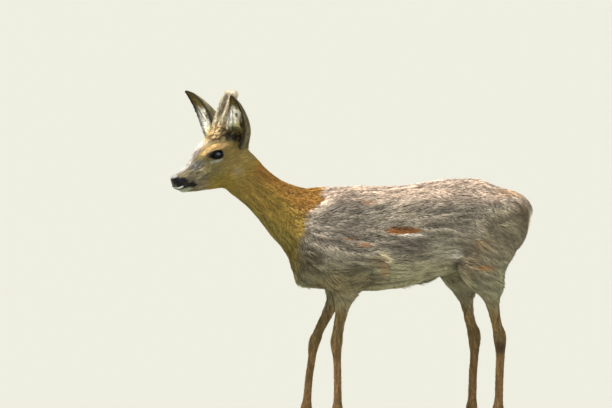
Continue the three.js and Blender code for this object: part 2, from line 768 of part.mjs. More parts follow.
const deer = new THREE.Group();
for (const [name, solid] of solids) {
  const mesh = new THREE.Mesh(geometryFrom(solid), materials[finishes.get(name)]);
  mesh.name = name;
  deer.add(mesh);
}

// The origin is on the floor under the middle of the animal's outline.
const outline = new THREE.Box3().setFromObject(deer);
const middle = outline.getCenter(v3(0, 0, 0));
const scale = WITHERS_HEIGHT / 630;
deer.scale.setScalar(scale);
deer.position.set(-middle.x * scale, -middle.y * scale, 0);

export default deer;
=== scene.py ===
# %% [markdown]
# # A young roebuck, standing
# A life-size model of a roe deer, the kind a natural history museum stands on its floor.
# Everything is measured in metres in the frame of the solids: the animal faces -X, its left side
# is towards -Y, +Z is up and the floor is Z = 0. The solids give its outline out to the tips of
# the coat. This script grows one skin just inside them, lays a coat of single strands over that
# skin, and adds what isn't hair: eyes, nose, antlers in velvet and hooves.

# %% The frame
import json
import math

import bmesh
import bpy
import numpy as np
import openvdb
from mathutils import Matrix, Vector

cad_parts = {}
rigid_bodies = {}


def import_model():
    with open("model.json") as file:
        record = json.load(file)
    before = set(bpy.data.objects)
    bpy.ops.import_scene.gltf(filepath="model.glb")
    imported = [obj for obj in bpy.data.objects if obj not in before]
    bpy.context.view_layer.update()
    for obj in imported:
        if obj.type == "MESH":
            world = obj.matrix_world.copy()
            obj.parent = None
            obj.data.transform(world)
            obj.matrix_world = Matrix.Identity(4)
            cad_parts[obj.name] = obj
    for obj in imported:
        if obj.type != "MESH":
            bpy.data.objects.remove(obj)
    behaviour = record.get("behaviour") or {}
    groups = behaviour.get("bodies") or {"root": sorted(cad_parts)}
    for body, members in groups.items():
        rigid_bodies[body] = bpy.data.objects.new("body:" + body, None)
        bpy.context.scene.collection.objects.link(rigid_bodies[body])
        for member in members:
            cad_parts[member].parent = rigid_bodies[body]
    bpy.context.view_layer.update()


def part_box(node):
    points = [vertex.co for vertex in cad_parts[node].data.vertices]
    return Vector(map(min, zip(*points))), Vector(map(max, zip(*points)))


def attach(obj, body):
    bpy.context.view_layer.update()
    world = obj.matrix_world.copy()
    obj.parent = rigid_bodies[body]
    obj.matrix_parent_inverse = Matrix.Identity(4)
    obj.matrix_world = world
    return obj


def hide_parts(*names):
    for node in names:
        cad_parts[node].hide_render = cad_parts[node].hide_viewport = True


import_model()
scene = bpy.context.scene

# %% [markdown]
# ## The camera
# A long lens far away, looking down by less than two degrees, so that the outline is nearly a
# flat side view. The picture is 1.53 m wide at the animal. A camera near to it with a short lens
# would swell the head and shrink the rump.

# %% Camera
PICTURE_WIDTH = 1.53
SENSOR_WIDTH = 36.0
CAMERA_FAR = 20.0
CAMERA_SEES_TO = 2000.0
CAMERA_RISE = math.radians(1.6)
AIM = Vector((-0.1167, 0.0, 0.588))

camera_data = bpy.data.cameras.new("camera")
camera_data.sensor_width = SENSOR_WIDTH
camera_data.lens = SENSOR_WIDTH * CAMERA_FAR / PICTURE_WIDTH
camera_data.clip_end = CAMERA_SEES_TO
camera = bpy.data.objects.new("camera", camera_data)
away = Vector((0, -math.cos(CAMERA_RISE), math.sin(CAMERA_RISE)))
camera.location = AIM + away * CAMERA_FAR
camera.rotation_mode = "QUATERNION"
camera.rotation_quaternion = (-away).to_track_quat("-Z", "Y")
scene.collection.objects.link(camera)
scene.camera = camera
scene.view_settings.view_transform = "Standard"
print("lens", round(camera_data.lens), "mm, camera height", round(camera.location.z, 2), "m")

# %% [markdown]
# ## Shader sums as Python
# A material here is mostly a sum over the place on the animal. `Value` wraps a socket, so that an
# expression such as `1 - mask * 0.4` adds the Math nodes it needs. Every other node comes from
# `Finish.node`, which sets the node's own settings first and then its sockets.

# %% Shader helpers
class Value:
    def __init__(self, finish, socket):
        self.finish = finish
        self.socket = socket

    def math(self, operation, *others, flip=False):
        terms = (*others, self) if flip else (self, *others)
        sockets = dict(enumerate(terms))
        return self.finish.node("ShaderNodeMath", {"operation": operation}, sockets)

    def __add__(self, other):
        return self.math("ADD", other)

    __radd__ = __add__

    def __sub__(self, other):
        return self.math("SUBTRACT", other)

    def __rsub__(self, other):
        return self.math("SUBTRACT", other, flip=True)

    def __mul__(self, other):
        return self.math("MULTIPLY", other)

    __rmul__ = __mul__

    def __truediv__(self, other):
        return self.math("DIVIDE", other)

    def __pow__(self, other):
        return self.math("POWER", other)

    def __abs__(self):
        return self.math("ABSOLUTE")


def paint(code):
    """A colour written as six hex digits, in the linear light that shaders add up in."""
    parts = [int(code[i:i + 2], 16) / 255 for i in (0, 2, 4)]
    return (*[c / 12.92 if c < 0.04045 else ((c + 0.055) / 1.055) ** 2.4 for c in parts], 1.0)


class Finish:
    def __init__(self, name):
        self.material = bpy.data.materials.new(name)
        self.material.use_nodes = True
        self.tree = self.material.node_tree
        self.shader = self.tree.nodes["Principled BSDF"]

    def node(self, kind, settings=None, sockets=None, output=0):
        made = self.tree.nodes.new(kind)
        for name, value in (settings or {}).items():
            setattr(made, name, value)
        for name, value in (sockets or {}).items():
            if isinstance(value, Value):
                self.tree.links.new(value.socket, made.inputs[name])
            else:
                made.inputs[name].default_value = value
        return Value(self, made.outputs[output])

    def set(self, **sockets):
        for name, value in sockets.items():
            socket = self.shader.inputs[name.replace("_", " ")]
            if isinstance(value, Value):
                self.tree.links.new(value.socket, socket)
            else:
                socket.default_value = value

    def step(self, value, start, end):
        """0 before start, 1 after end, and a soft rise between them."""
        sockets = {0: value, 1: start, 2: end, 3: 0.0, 4: 1.0}
        if start > end:
            sockets.update({1: end, 2: start, 3: 1.0, 4: 0.0})
        return self.node("ShaderNodeMapRange", {"interpolation_type": "SMOOTHSTEP"}, sockets)

    def most(self, first, second):
        return self.node("ShaderNodeMath", {"operation": "MAXIMUM"}, {0: first, 1: second})

    def mix(self, share, first, second):
        """The first colour where the share is 0, the second where it is 1."""
        # A colour Mix node keeps its share in socket 0 and its two colours in 6 and 7.
        settings = {"data_type": "RGBA", "clamp_factor": True}
        return self.node("ShaderNodeMix", settings, {0: share, 6: first, 7: second}, output=2)

    def vector(self, operation, *terms, output=0):
        sockets = dict(enumerate(terms))
        return self.node("ShaderNodeVectorMath", {"operation": operation}, sockets, output)

    def dot(self, first, second):
        return self.vector("DOT_PRODUCT", first, tuple(second), output=1)

    def axes(self, point):
        split = self.node("ShaderNodeSeparateXYZ", None, {0: point})
        outputs = split.socket.node.outputs
        return [Value(self, outputs[i]) for i in range(3)]

    def joined(self, x, y, z):
        return self.node("ShaderNodeCombineXYZ", None, {0: x, 1: y, 2: z})

    def noise(self, point, scale, detail=2.0, rough=0.5):
        sockets = {"Vector": point, "Scale": scale, "Detail": detail, "Roughness": rough}
        return self.node("ShaderNodeTexNoise", None, sockets)

    def place(self):
        """Object coordinates, which are the frame's metres."""
        return self.node("ShaderNodeTexCoord", output=3)

    def attribute(self, name, output=1):
        return self.node("ShaderNodeAttribute", {"attribute_name": name}, None, output)

    def bump(self, height, distance, strength=1.0):
        sockets = {"Height": height, "Distance": distance, "Strength": strength}
        return self.node("ShaderNodeBump", None, sockets)


# %% [markdown]
# ## Floor and light
# The model stands on a plain pale floor in a studio. The key light comes from high above and a
# little ahead of the animal, so that it catches the top line of the back and the bridge of the
# nose. A broad fill from the camera's side and a pale surround light its flank, and a small cool
# window puts the light in its eye. All lamps are distant, so that the floor is evenly bright.

# %% Floor and lights
def made_object(name, points, faces, smooth=True):
    mesh = bpy.data.meshes.new(name)
    mesh.from_pydata([tuple(p) for p in points], [], [tuple(f) for f in faces])
    mesh.polygons.foreach_set("use_smooth", [smooth] * len(mesh.polygons))
    made = bpy.data.objects.new(name, mesh)
    scene.collection.objects.link(made)
    return made


FLOOR_RADIUS = 900.0
FLOOR_SIDES = 96
turns = np.linspace(0, 2 * np.pi, FLOOR_SIDES, endpoint=False)
rim = np.stack([np.cos(turns), np.sin(turns), 0 * turns], 1) * FLOOR_RADIUS
floor = made_object("studio_floor", rim, [range(FLOOR_SIDES)], smooth=False)
floor_finish = Finish("pale_floor")
floor_finish.set(Base_Color=paint("a4a59f"), Roughness=0.9, Specular_IOR_Level=0.1)
floor.data.materials.append(floor_finish.material)


def sun(name, towards, power, spread, tint):
    """A distant lamp: where it stands from the animal, its strength and how soft it is."""
    data = bpy.data.lights.new(name, "SUN")
    data.energy = power
    data.angle = math.radians(spread)
    data.color = tint
    lamp = bpy.data.objects.new(name, data)
    lamp.rotation_mode = "QUATERNION"
    lamp.rotation_quaternion = Vector(towards).to_track_quat("Z", "Y")
    scene.collection.objects.link(lamp)


sun("key", (-0.42, -0.08, 1.0), 5.4, 14, (1.0, 0.965, 0.9))
sun("fill", (-0.3, -1.0, 0.25), 1.1, 140, (1.0, 0.99, 0.93))
sun("window", (0.38, -0.8, 0.42), 0.35, 34, (0.72, 0.86, 1.0))
world = bpy.data.worlds.new("surround")
world.use_nodes = True
surround = world.node_tree.nodes["Background"]
surround.inputs["Color"].default_value = (0.93, 0.95, 0.93, 1)
surround.inputs["Strength"].default_value = 0.6
scene.world = world
print("three lamps and a pale surround")

# %% [markdown]
# ## The animal's form as one field
# The skin has to follow the solids exactly, but without their facets and cuts. So the same rounded
# forms that the solids were moulded from are written here as a field: a function of place that is
# negative inside the animal, zero at the tips of its coat and positive outside. Any surface at
# any depth below the coat is then a level of this one field, and so is the way the hair lies on
# it. A remesh of the solids would keep their facets, and smoothing would eat the muzzle and hocks.
# Lengths in this part are millimetres from the animal's own point between its forefeet.

# %% Axes of the head and neck
HEAD_TURN = math.radians(27)
HEAD_DROP = math.radians(26)
EYE_PLACE = np.array([127.0, 31.5, 8.0])
NOSE_TIP = np.array([-445.0, -94.0, 650.0])
head_forward = np.array([
    -math.cos(HEAD_TURN) * math.cos(HEAD_DROP),
    -math.sin(HEAD_TURN) * math.cos(HEAD_DROP),
    -math.sin(HEAD_DROP),
])
head_right = np.array([-math.sin(HEAD_TURN), math.cos(HEAD_TURN), 0.0])
head_up = np.cross(head_right, head_forward)
HEAD_AXES = np.array([-head_forward, head_right, head_up])
NECK_RISE = math.radians(40)
neck_along = np.array([-math.cos(NECK_RISE), 0.0, math.sin(NECK_RISE)])
neck_left = np.array([0.0, -1.0, 0.0])
NECK_AXES = np.array([neck_along, neck_left, np.cross(neck_along, neck_left)])
NECK_ROOT = np.array([-100.0, 0.0, 520.0])

eye_corners = [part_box(node) for node in ("eye_left", "eye_right")]
eye_middle = np.mean([[tuple(low), tuple(high)] for low, high in eye_corners], (0, 1))
ahead_of_eyes = np.array([EYE_PLACE[0], 0, EYE_PLACE[2]]) @ HEAD_AXES
ORIGIN = eye_middle - (NOSE_TIP + ahead_of_eyes) / 1000
print("the animal's own point lies at", ORIGIN.round(4))


def to_body(points):
    """From the frame's metres to the animal's own millimetres."""
    return (np.asarray(points, float) - ORIGIN) * 1000


def to_frame(points):
    return np.asarray(points, float) / 1000 + ORIGIN


def to_head(points):
    return (points - NOSE_TIP) @ HEAD_AXES.T


def to_half_head(points):
    """The same, with the left half of the head laid on the right."""
    local = to_head(points)
    local[:, 1] = np.abs(local[:, 1])
    return local


def from_head(points):
    return np.asarray(points, float) @ HEAD_AXES + NOSE_TIP


def to_neck(points):
    return (points - NECK_ROOT) @ NECK_AXES.T


def unit(vectors):
    return vectors / np.maximum(np.linalg.norm(vectors, axis=-1, keepdims=True), 1e-9)


# %% Rounded forms
def smooth_table(rows):
    """A function that reads a table at any place, with a smooth curve through its rows."""
    rows = np.array(rows, float)
    at = rows[:, 0]
    before = np.vstack([rows[:1], rows[:-1]])
    after = np.vstack([rows[1:], rows[-1:]])
    slopes = (after - before) / (after[:, :1] - before[:, :1])

    def read(place):
        t = np.clip(place, at[0], at[-1])
        i = np.clip(np.searchsorted(at, t) - 1, 0, len(at) - 2)
        span = at[i + 1] - at[i]
        s = (t - at[i]) / span
        curve = s * s * (3 - 2 * s)
        columns = [t]
        for k in range(1, rows.shape[1]):
            leave = (1 - s) ** 2 * s * slopes[i, k]
            arrive = (1 - s) * s * s * slopes[i + 1, k]
            climb = (rows[i + 1, k] - rows[i, k]) * curve
            columns.append(rows[i, k] + climb + (leave - arrive) * span)
        return columns

    return read


def outside_oval(side, height, low, middle, high, half, top=2.0, bottom=2.0):
    """Distance from an oval section whose upper and lower halves have sizes of their own."""
    above = height - middle
    upper = above > 0
    reach = np.where(upper, high - middle, middle - low)
    power = np.where(upper, top, bottom)
    far = np.hypot(side, above)
    total = np.abs(side / half) ** power + np.abs(above / reach) ** power
    share = np.maximum(total, 1e-9) ** (1 / power)
    return np.where(far < 1e-6, -np.minimum(half, reach), far * (1 - 1 / share))


def past_end(outside, past):
    """Closes a form at its ends, where places lie past the last section."""
    ended = np.where(outside > 0, np.hypot(outside, past), np.maximum(outside, past))
    return np.where(past == 0, outside, ended)


def blend(a, b, width):
    """Two forms joined with a soft hollow of the width given."""
    share = np.maximum(width - np.abs(a - b), 0) / width
    return np.minimum(a, b) - share * share * width * 0.25


def muscle(points, at, reach, lean=0.0):
    """Distance from an egg-shaped form, leaning in the side view."""
    dx, dy, dz = (points - np.array(at)).T
    cos, sin = math.cos(lean), math.sin(lean)
    along = (dx * cos + dz * sin) / reach[0]
    up = (dz * cos - dx * sin) / reach[2]
    return (np.sqrt(along ** 2 + (dy / reach[1]) ** 2 + up ** 2) - 1) * min(reach)


# %% Sections of the trunk, neck and skull
# Place along the form, low, middle and high levels, half width, and the neck's swing to the left.
trunk_at = smooth_table([
    [-146, 424, 455, 490, 26], [-132, 396, 455, 560, 54], [-100, 380, 462, 612, 74],
    [-55, 371, 468, 629, 87], [0, 367, 472, 634, 95], [70, 369, 478, 633, 102],
    [140, 379, 484, 637, 104], [210, 399, 495, 647, 99], [275, 420, 510, 654, 93],
    [320, 436, 524, 653, 88], [374, 452, 536, 633, 80], [418, 470, 545, 619, 66],
    [440, 500, 556, 606, 48], [453, 545, 566, 584, 22],
])
neck_at = smooth_table([
    [-60, -92, -16, 70, 60, 0], [-20, -86, -12, 92, 68, 0], [30, -79, -8, 100, 63, 0],
    [58, -75, -4, 88, 55, 0], [80, -71, 0, 75, 50, 1], [105, -65, 0, 63, 46, 2],
    [130, -60, 0, 55, 43, 4], [160, -56, 0, 51, 40, 6], [190, -56, 0, 51, 39, 9],
    [222, -56, 2, 55, 39, 13], [245, -50, 4, 54, 35, 17], [262, -28, 6, 34, 22, 20],
])
head_at = smooth_table([
    [0, -13, -5, 3, 7], [4, -26, -9, 7, 14], [12, -41, -13, 9, 19], [26, -49, -18, 9.5, 21],
    [46, -57, -20, 14, 22.5], [66, -63, -19, 23, 26], [88, -71, -15, 34, 32],
    [108, -78, -9, 43, 37], [130, -84, -3, 51, 40], [152, -83, 1, 57, 39.5],
    [176, -72, 4, 58, 38], [200, -50, 5, 52, 34], [222, -28, 7, 38, 25], [234, -4, 8, 20, 12],
])
HEAD_PADS = [
    {"at": (119, 33, 25), "reach": (27, 9, 9), "lean": 0.35},
    {"at": (104, 32, -12), "reach": (30, 9, 11), "lean": 0.3},
    {"at": (150, 27, -38), "reach": (30, 12, 26), "lean": 0.2},
    {"at": (17, 13, -19), "reach": (17, 9.5, 11), "lean": 0.25},
    {"at": (192, 30, 12), "reach": (22, 15, 24), "lean": -0.2},
]
TRUNK_MUSCLES = [
    {"at": (-48, 64, 500), "reach": (46, 27, 104), "lean": -0.25},
    {"at": (-12, 66, 428), "reach": (52, 26, 44), "lean": 0.3},
    {"at": (-96, 52, 447), "reach": (34, 24, 34)},
    {"at": (-92, 18, 408), "reach": (46, 26, 22), "lean": 0.35},
    {"at": (392, 46, 540), "reach": (52, 36, 58), "lean": 0.5},
]
TAIL = {"at": (446, 0, 574), "reach": (15, 12, 18.75)}
SHEATH = {"at": (176, 0, 384), "reach": (40, 9, 12), "lean": 0.35}

# %% Sections of the legs
# Height, reach forward and back of the centre line, half width.
foreleg_at = smooth_table([
    [22, 15, 13.5, 14.5], [36, 14, 12.5, 13.5], [52, 13, 12.5, 12.5], [66, 14, 16.5, 13],
    [78, 14.5, 14.5, 13], [96, 11.5, 11, 10], [150, 10.5, 10.5, 9.2], [205, 11, 11, 10.5],
    [226, 14.5, 13, 14], [246, 16.5, 15.5, 15], [266, 14.5, 14.5, 13], [300, 16.5, 17, 14],
    [337, 20, 22, 18], [366, 30, 38, 24], [392, 44, 48, 29], [425, 56, 54, 33],
])
hindleg_at = smooth_table([
    [22, 15, 13.5, 14.5], [36, 14, 12.5, 13.5], [52, 13.5, 12.5, 12.5], [66, 14.5, 16.5, 13],
    [78, 15, 15, 13], [98, 12, 11.5, 10.5], [160, 11, 11.5, 9.8], [212, 12, 12, 11],
    [236, 15.5, 14.5, 14], [256, 17, 17.5, 14.5], [272, 15, 19, 12.5], [290, 14, 15.5, 11.5],
    [320, 18, 16, 14], [350, 26, 22, 20], [385, 46, 47, 30], [420, 62, 62, 38],
    [460, 74, 74, 42], [510, 76, 79, 42], [560, 60, 66, 34],
])
# Centre lines through the joints: height, place along the body, and how far out each stands.
LEGS = {
    "foreleg_left": (-1, foreleg_at, smooth_table([
        [24, -50, 44], [50, -41, 44], [72, -32, 45], [160, -31, 46], [246, -33, 49],
        [300, -26, 54], [350, -16, 60], [425, -12, 64],
    ])),
    "foreleg_right": (1, foreleg_at, smooth_table([
        [24, -128, 42], [50, -119, 42], [72, -110, 43], [160, -101, 45], [246, -86, 48],
        [300, -62, 54], [350, -38, 60], [425, -12, 64],
    ])),
    "hindleg_left": (-1, hindleg_at, smooth_table([
        [24, 350, 48], [50, 359, 48], [72, 369, 49], [160, 373, 50], [246, 375, 51],
        [290, 365, 53], [350, 354, 58], [420, 328, 58], [460, 336, 54], [510, 350, 48],
        [560, 366, 40],
    ])),
    "hindleg_right": (1, hindleg_at, smooth_table([
        [24, 286, 46], [50, 295, 46], [72, 305, 47], [160, 309, 49], [246, 313, 51],
        [290, 302, 53], [350, 292, 58], [420, 277, 58], [460, 300, 54], [510, 330, 48],
        [560, 356, 40],
    ])),
}


# %% The field
# How wide the soft hollow is where each form joins the others, in millimetres.
NECK_SOFT, HEAD_SOFT, PADS_SOFT, MUSCLES_SOFT = 34, 16, 12, 26
SHEATH_SOFT, TAIL_SOFT, THIGH_SOFT, SHIN_SOFT, LIDS_SOFT = 14, 8, 22.0, 6.0, 7
UPPER_LEG_LEVEL = 330


def trunk_form(points):
    x, low, middle, high, half = trunk_at(points[:, 0])
    oval = outside_oval(points[:, 1], points[:, 2], low, middle, high, half, 2.05, 1.9)
    return past_end(oval, np.abs(points[:, 0] - x))


def neck_form(points):
    along, side, up = to_neck(points).T
    x, low, middle, high, half, swing = neck_at(along)
    return past_end(outside_oval(side - swing, up, low, middle, high, half), np.abs(along - x))


def head_form(points):
    local = to_head(points)
    x, low, middle, high, half = head_at(local[:, 0])
    oval = outside_oval(local[:, 1], local[:, 2], low, middle, high, half, 2.2, 1.75)
    outside = past_end(oval, np.abs(local[:, 0] - x))
    local[:, 1] = np.abs(local[:, 1])
    for pad in HEAD_PADS:
        outside = blend(outside, muscle(local, **pad), PADS_SOFT)
    return outside


def leg_form(points, side, section_at, joint_at):
    z, fore, aft, half = section_at(points[:, 2])
    _, x, out = joint_at(points[:, 2])
    oval = outside_oval(points[:, 1] - side * out, points[:, 0] - x, -fore, 0 * fore, aft, half)
    return past_end(oval, np.abs(points[:, 2] - z))


def coat_form(points):
    outside = blend(trunk_form(points), neck_form(points), NECK_SOFT)
    outside = blend(outside, head_form(points), HEAD_SOFT)
    mirrored = points.copy()
    mirrored[:, 1] = np.abs(mirrored[:, 1])
    for form in TRUNK_MUSCLES:
        outside = blend(outside, muscle(mirrored, **form), MUSCLES_SOFT)
    outside = blend(outside, muscle(points, **SHEATH), SHEATH_SOFT)
    outside = blend(outside, muscle(points, **TAIL), TAIL_SOFT)
    soft = np.where(points[:, 2] > UPPER_LEG_LEVEL, THIGH_SOFT, SHIN_SOFT)
    for side, section_at, joint_at in LEGS.values():
        outside = blend(outside, leg_form(points, side, section_at, joint_at), soft)
    return outside


def slope_of(field, points, reach=0.5):
    """Which way, and how fast, the field grows at each place."""
    slopes = [
        field(points + reach * axis) - field(points - reach * axis) for axis in np.eye(3)
    ]
    return np.stack(slopes, 1) / (2 * reach)


def pulled_to(field, points, level, rounds=2, most=4.0):
    """Moves points along the field's slope until they lie at the level given for each."""
    points = points.copy()
    for _ in range(rounds):
        slope = slope_of(field, points)
        short = (level - field(points)) / np.maximum((slope ** 2).sum(1), 0.2)
        move = slope * short[:, None]
        far = np.linalg.norm(move, axis=1, keepdims=True)
        points += move * np.minimum(1, most / np.maximum(far, 1e-9))
    return points


print("height of the back over the forelegs", trunk_at(np.array([0.0]))[3][0], "mm")

# %% [markdown]
# ## Where the skin lies
# On a real roe in its long coat the skin is 8 mm below the tips on the trunk, a little less on the
# neck, and about 2 mm on the face and shins. The skin here is the level of the field at that
# depth, with the forms that hair would hide carved in: lids and their creases, the gland in front
# of each eye, nostrils, the line of the mouth, the lower lip set back under the upper, and the
# hollow between bone and tendon on the shins.

# %% Depth of the coat
TRUNK_COAT, NECK_COAT, FACE_COAT, SHIN_COAT, NOSE_COAT = 8.0, 6.0, 2.2, 2.0, 0.4


def rise(value, start, end):
    """0 before start, 1 after end, and a soft rise between them."""
    share = np.clip((value - start) / (end - start), 0, 1)
    return share * share * (3 - 2 * share)


def fade(value, width):
    """1 at zero, falling off smoothly on both sides."""
    return np.exp(-(value / width) ** 2)


def coat_depth(points):
    along = to_neck(points)[:, 0]
    back = to_head(points)[:, 0]
    depth = TRUNK_COAT - (TRUNK_COAT - NECK_COAT) * rise(along, 10, 70)
    depth += (FACE_COAT - depth) * rise(along, 190, 236)
    depth += (SHIN_COAT - depth) * (1 - rise(points[:, 2], 240, 380))
    depth += (NOSE_COAT - depth) * (1 - rise(back, 10, 26)) * rise(along, 150, 200)
    return depth


# %% Eyes' places
LOOK_FORWARD = math.radians(25)
LOOK_UP = math.radians(5)
EYE_TILT = math.radians(13)
EYE_SET_BACK = 1.4
EYEBALL = 14.3
LID = 1.6


def eye_axes(side):
    """Backward along the lids, upward and outward, for the eye on one side."""
    look = np.array([
        -math.sin(LOOK_FORWARD) * math.cos(LOOK_UP),
        side * math.cos(LOOK_FORWARD) * math.cos(LOOK_UP),
        math.sin(LOOK_UP),
    ])
    backward = np.array([math.cos(EYE_TILT), 0.0, -math.sin(EYE_TILT)])
    backward = unit(backward - look * (backward @ look))
    upward = np.cross(look, backward) * (-side)
    return np.array([backward, upward, look])


def eye_centre(side):
    return EYE_PLACE * (1, side, 1) - eye_axes(side)[2] * EYE_SET_BACK


def to_eye(local):
    """Back, up and out of the socket, for places on the half head."""
    return (local - eye_centre(1)) @ eye_axes(1).T


assert eye_axes(1)[1][2] > 0.8 and eye_axes(-1)[1][2] > 0.8


# %% Folds of the head and shins
def mouth_level(back):
    return -26.8 - 0.05 * back - 0.0022 * back * back


def near_line(points, start, end):
    """Distance from a straight line between two places, and the share of the way along it."""
    start, end = np.array(start, float), np.array(end, float)
    way = end - start
    share = np.clip(((points - start) @ way) / (way @ way), 0, 1)
    return np.linalg.norm(points - start - share[:, None] * way, axis=1), share


def folds(points):
    """How far the skin is drawn in at each place, in millimetres."""
    local = to_half_head(points)
    back, side, up = local.T
    on_face = rise(to_neck(points)[:, 0], 120, 170)
    level = mouth_level(back)
    in_mouth = (1 - rise(back, 50, 64)) * on_face
    drawn = 1.9 * fade(up - level, 1.3) * in_mouth  # the mouth's line
    # The lower lip is set back.
    drawn += 1.3 * (1 - rise(up - level, -4, -1)) * (1 - rise(back, 34, 62)) * on_face
    nostril, _ = near_line(local, (2, 8.0, -9.5), (10, 14.5, -7.5))
    drawn += 4.2 * (1 - rise(nostril, 0.8, 3.4)) * on_face  # the nostril
    wing, _ = near_line(local, (11, 15, -7), (16, 17, -11.5))
    drawn += 1.3 * fade(wing, 1.2) * on_face  # and the fold behind it
    # The groove down the middle of the nose pad.
    drawn += 0.9 * fade(side, 1.1) * (1 - rise(back, 5, 10)) * rise(up, -24, -16) * on_face
    gland, share = near_line(local, (107, 33, 1), (91, 28.5, -9))
    drawn += (2.2 - share) * fade(gland, 1.7 + share)  # the gland before the eye
    drawn -= 0.8 * fade(gland - 5, 2.2)  # its raised edge
    cheek, share = near_line(local, (176, 36, -18), (146, 30, -66))
    drawn += 0.9 * fade(cheek, 6)  # the hollow along the jaw's muscle
    eye = to_eye(local)
    ring = np.hypot(eye[:, 0] / 18.5, eye[:, 1] / 15.0)
    near_eye = fade(eye[:, 2] - 10, 12)
    # The creases of the upper and of the lower lid.
    drawn += 0.9 * fade(ring - 1.0, 0.09) * rise(eye[:, 1], 0, 5) * near_eye
    drawn += 0.5 * fade(ring - 1.02, 0.1) * rise(-eye[:, 1], 2, 8) * near_eye
    shin = (1 - rise(points[:, 2], 205, 232)) * rise(points[:, 2], 84, 100)
    for side, _, joint_at in LEGS.values():
        _, x, out = joint_at(points[:, 2])
        beside = rise(np.abs(points[:, 1] - side * out), 3, 8) * (points[:, 1] * side > 0)
        drawn += 1.3 * fade(points[:, 0] - x - 2.5, 2.6) * shin * beside  # between bone and tendon
    return drawn


def skin_form(points):
    outside = coat_form(points) + coat_depth(points) + folds(points)
    lids = np.linalg.norm(to_half_head(points) - eye_centre(1), axis=1) - (EYEBALL + LID)
    return blend(outside, lids, LIDS_SOFT)


# %% [markdown]
# ## Growing the skin
# The field is sampled on a grid of 7 mm cells and OpenVDB, which comes with Blender, lays one net
# of four-sided faces over its zero level. The shins are then divided once, the head twice and
# the muzzle and eyes three times, and each round is drawn onto the field again, so that the net
# is fine only where the form is. Metaballs or a voxel remesh would give one size everywhere.

# %% A net over the field
NET_STEP = 6.8
FAR_OUTSIDE = 1000.0
net_low = np.array([-474.0, -141.0, 6.0])
net_high = np.array([474.0, 141.0, 798.0])
counts = np.ceil((net_high - net_low) / NET_STEP).astype(int)
steps = [net_low[i] + np.arange(counts[i]) * NET_STEP for i in range(3)]
cells = np.stack(np.meshgrid(*steps, indexing="ij"), -1).reshape(-1, 3)
levels = np.concatenate([skin_form(part) for part in np.array_split(cells, 12)])
net = openvdb.FloatGrid(FAR_OUTSIDE)
net.copyFromArray(levels.reshape(counts).astype(np.float32))
net_points, net_faces = net.convertToQuads(isovalue=0.0)
net_points = net_low + net_points.astype(float) * NET_STEP
print("first net", len(net_points), "points,", len(net_faces), "faces")


# %% Finer where the form is finer
def detail_level(centres):
    """How many times the net is divided at each place."""
    local = to_half_head(centres)
    on_head = to_neck(centres)[:, 0] > 208
    wanted = np.where(on_head, 2, np.where(centres[:, 2] < 262, 1, 0))
    near_eye = np.linalg.norm(local - eye_centre(1) - (4, 0, 0), axis=1) < 27
    muzzle = (local[:, 0] < 62) & (local[:, 2] > -40)
    return np.where(on_head & (near_eye | muzzle), 3, wanted)


def relaxed(net, points, field, rounds):
    """Evens the net out along the surface, and keeps it on the field."""
    edges = np.array([[v.index for v in edge.verts] for edge in net.edges])
    ends = np.concatenate([edges, edges[:, ::-1]])
    shares = np.bincount(ends[:, 0], minlength=len(points))[:, None]
    for _ in range(rounds):
        sums = np.stack([
            np.bincount(ends[:, 0], weights=points[ends[:, 1], i], minlength=len(points))
            for i in range(3)
        ], 1)
        points = pulled_to(field, points * 0.5 + sums / shares * 0.5, 0.0, 1, 2.0)
    return points


skin_net = bmesh.new()
net_points = pulled_to(skin_form, net_points, 0.0, 2)
made = [skin_net.verts.new(point) for point in net_points]
for face in net_faces:
    skin_net.faces.new([made[i] for i in face])
for level in (1, 2, 3):
    centres = np.array([face.calc_center_median() for face in skin_net.faces])
    wanted = detail_level(centres) >= level
    chosen = {edge for face, yes in zip(skin_net.faces, wanted) if yes for edge in face.edges}
    bmesh.ops.subdivide_edges(skin_net, edges=list(chosen), cuts=1, use_grid_fill=True)
    bmesh.ops.triangulate(skin_net, faces=[f for f in skin_net.faces if len(f.verts) > 4])
    skin_net.verts.index_update()
    places = relaxed(skin_net, np.array([v.co for v in skin_net.verts]), skin_form, 1)
    for vertex, place in zip(skin_net.verts, places):
        vertex.co = place
bmesh.ops.triangulate(skin_net, faces=skin_net.faces)
bmesh.ops.recalc_face_normals(skin_net, faces=skin_net.faces)
print("skin net", len(skin_net.verts), "points,", len(skin_net.faces), "triangles")


# %% Into the frame
def to_object(name, points, faces):
    """A piece from places in the animal's own millimetres."""
    return made_object(name, to_frame(points), faces)


def facing_out(made, in_triangles=False):
    """Turns a closed mesh's faces outwards, and first into triangles where a cut needs that."""
    tidy = bmesh.new()
    tidy.from_mesh(made.data)
    if in_triangles:
        bmesh.ops.triangulate(tidy, faces=tidy.faces)
    bmesh.ops.recalc_face_normals(tidy, faces=tidy.faces)
    tidy.to_mesh(made.data)
    tidy.free()
    return made


skin_places = np.array([v.co for v in skin_net.verts])
skin_faces = [[v.index for v in face.verts] for face in skin_net.faces]
skin_net.free()
skin = to_object("skin", skin_places, skin_faces)


def settled(made):
    """Makes what an object's modifiers show its own plain mesh, and drops the modifiers."""
    result = bpy.data.meshes.new_from_object(made.evaluated_get(
        bpy.context.evaluated_depsgraph_get()))
    made.modifiers.clear()
    made.data = result


def combine(target, tool, operation):
    """Joins or cuts two closed meshes for good, and drops the tool."""
    step = target.modifiers.new("combine", "BOOLEAN")
    step.operation = operation
    step.solver = "MANIFOLD"
    step.object = tool
    settled(target)
    bpy.data.objects.remove(tool)


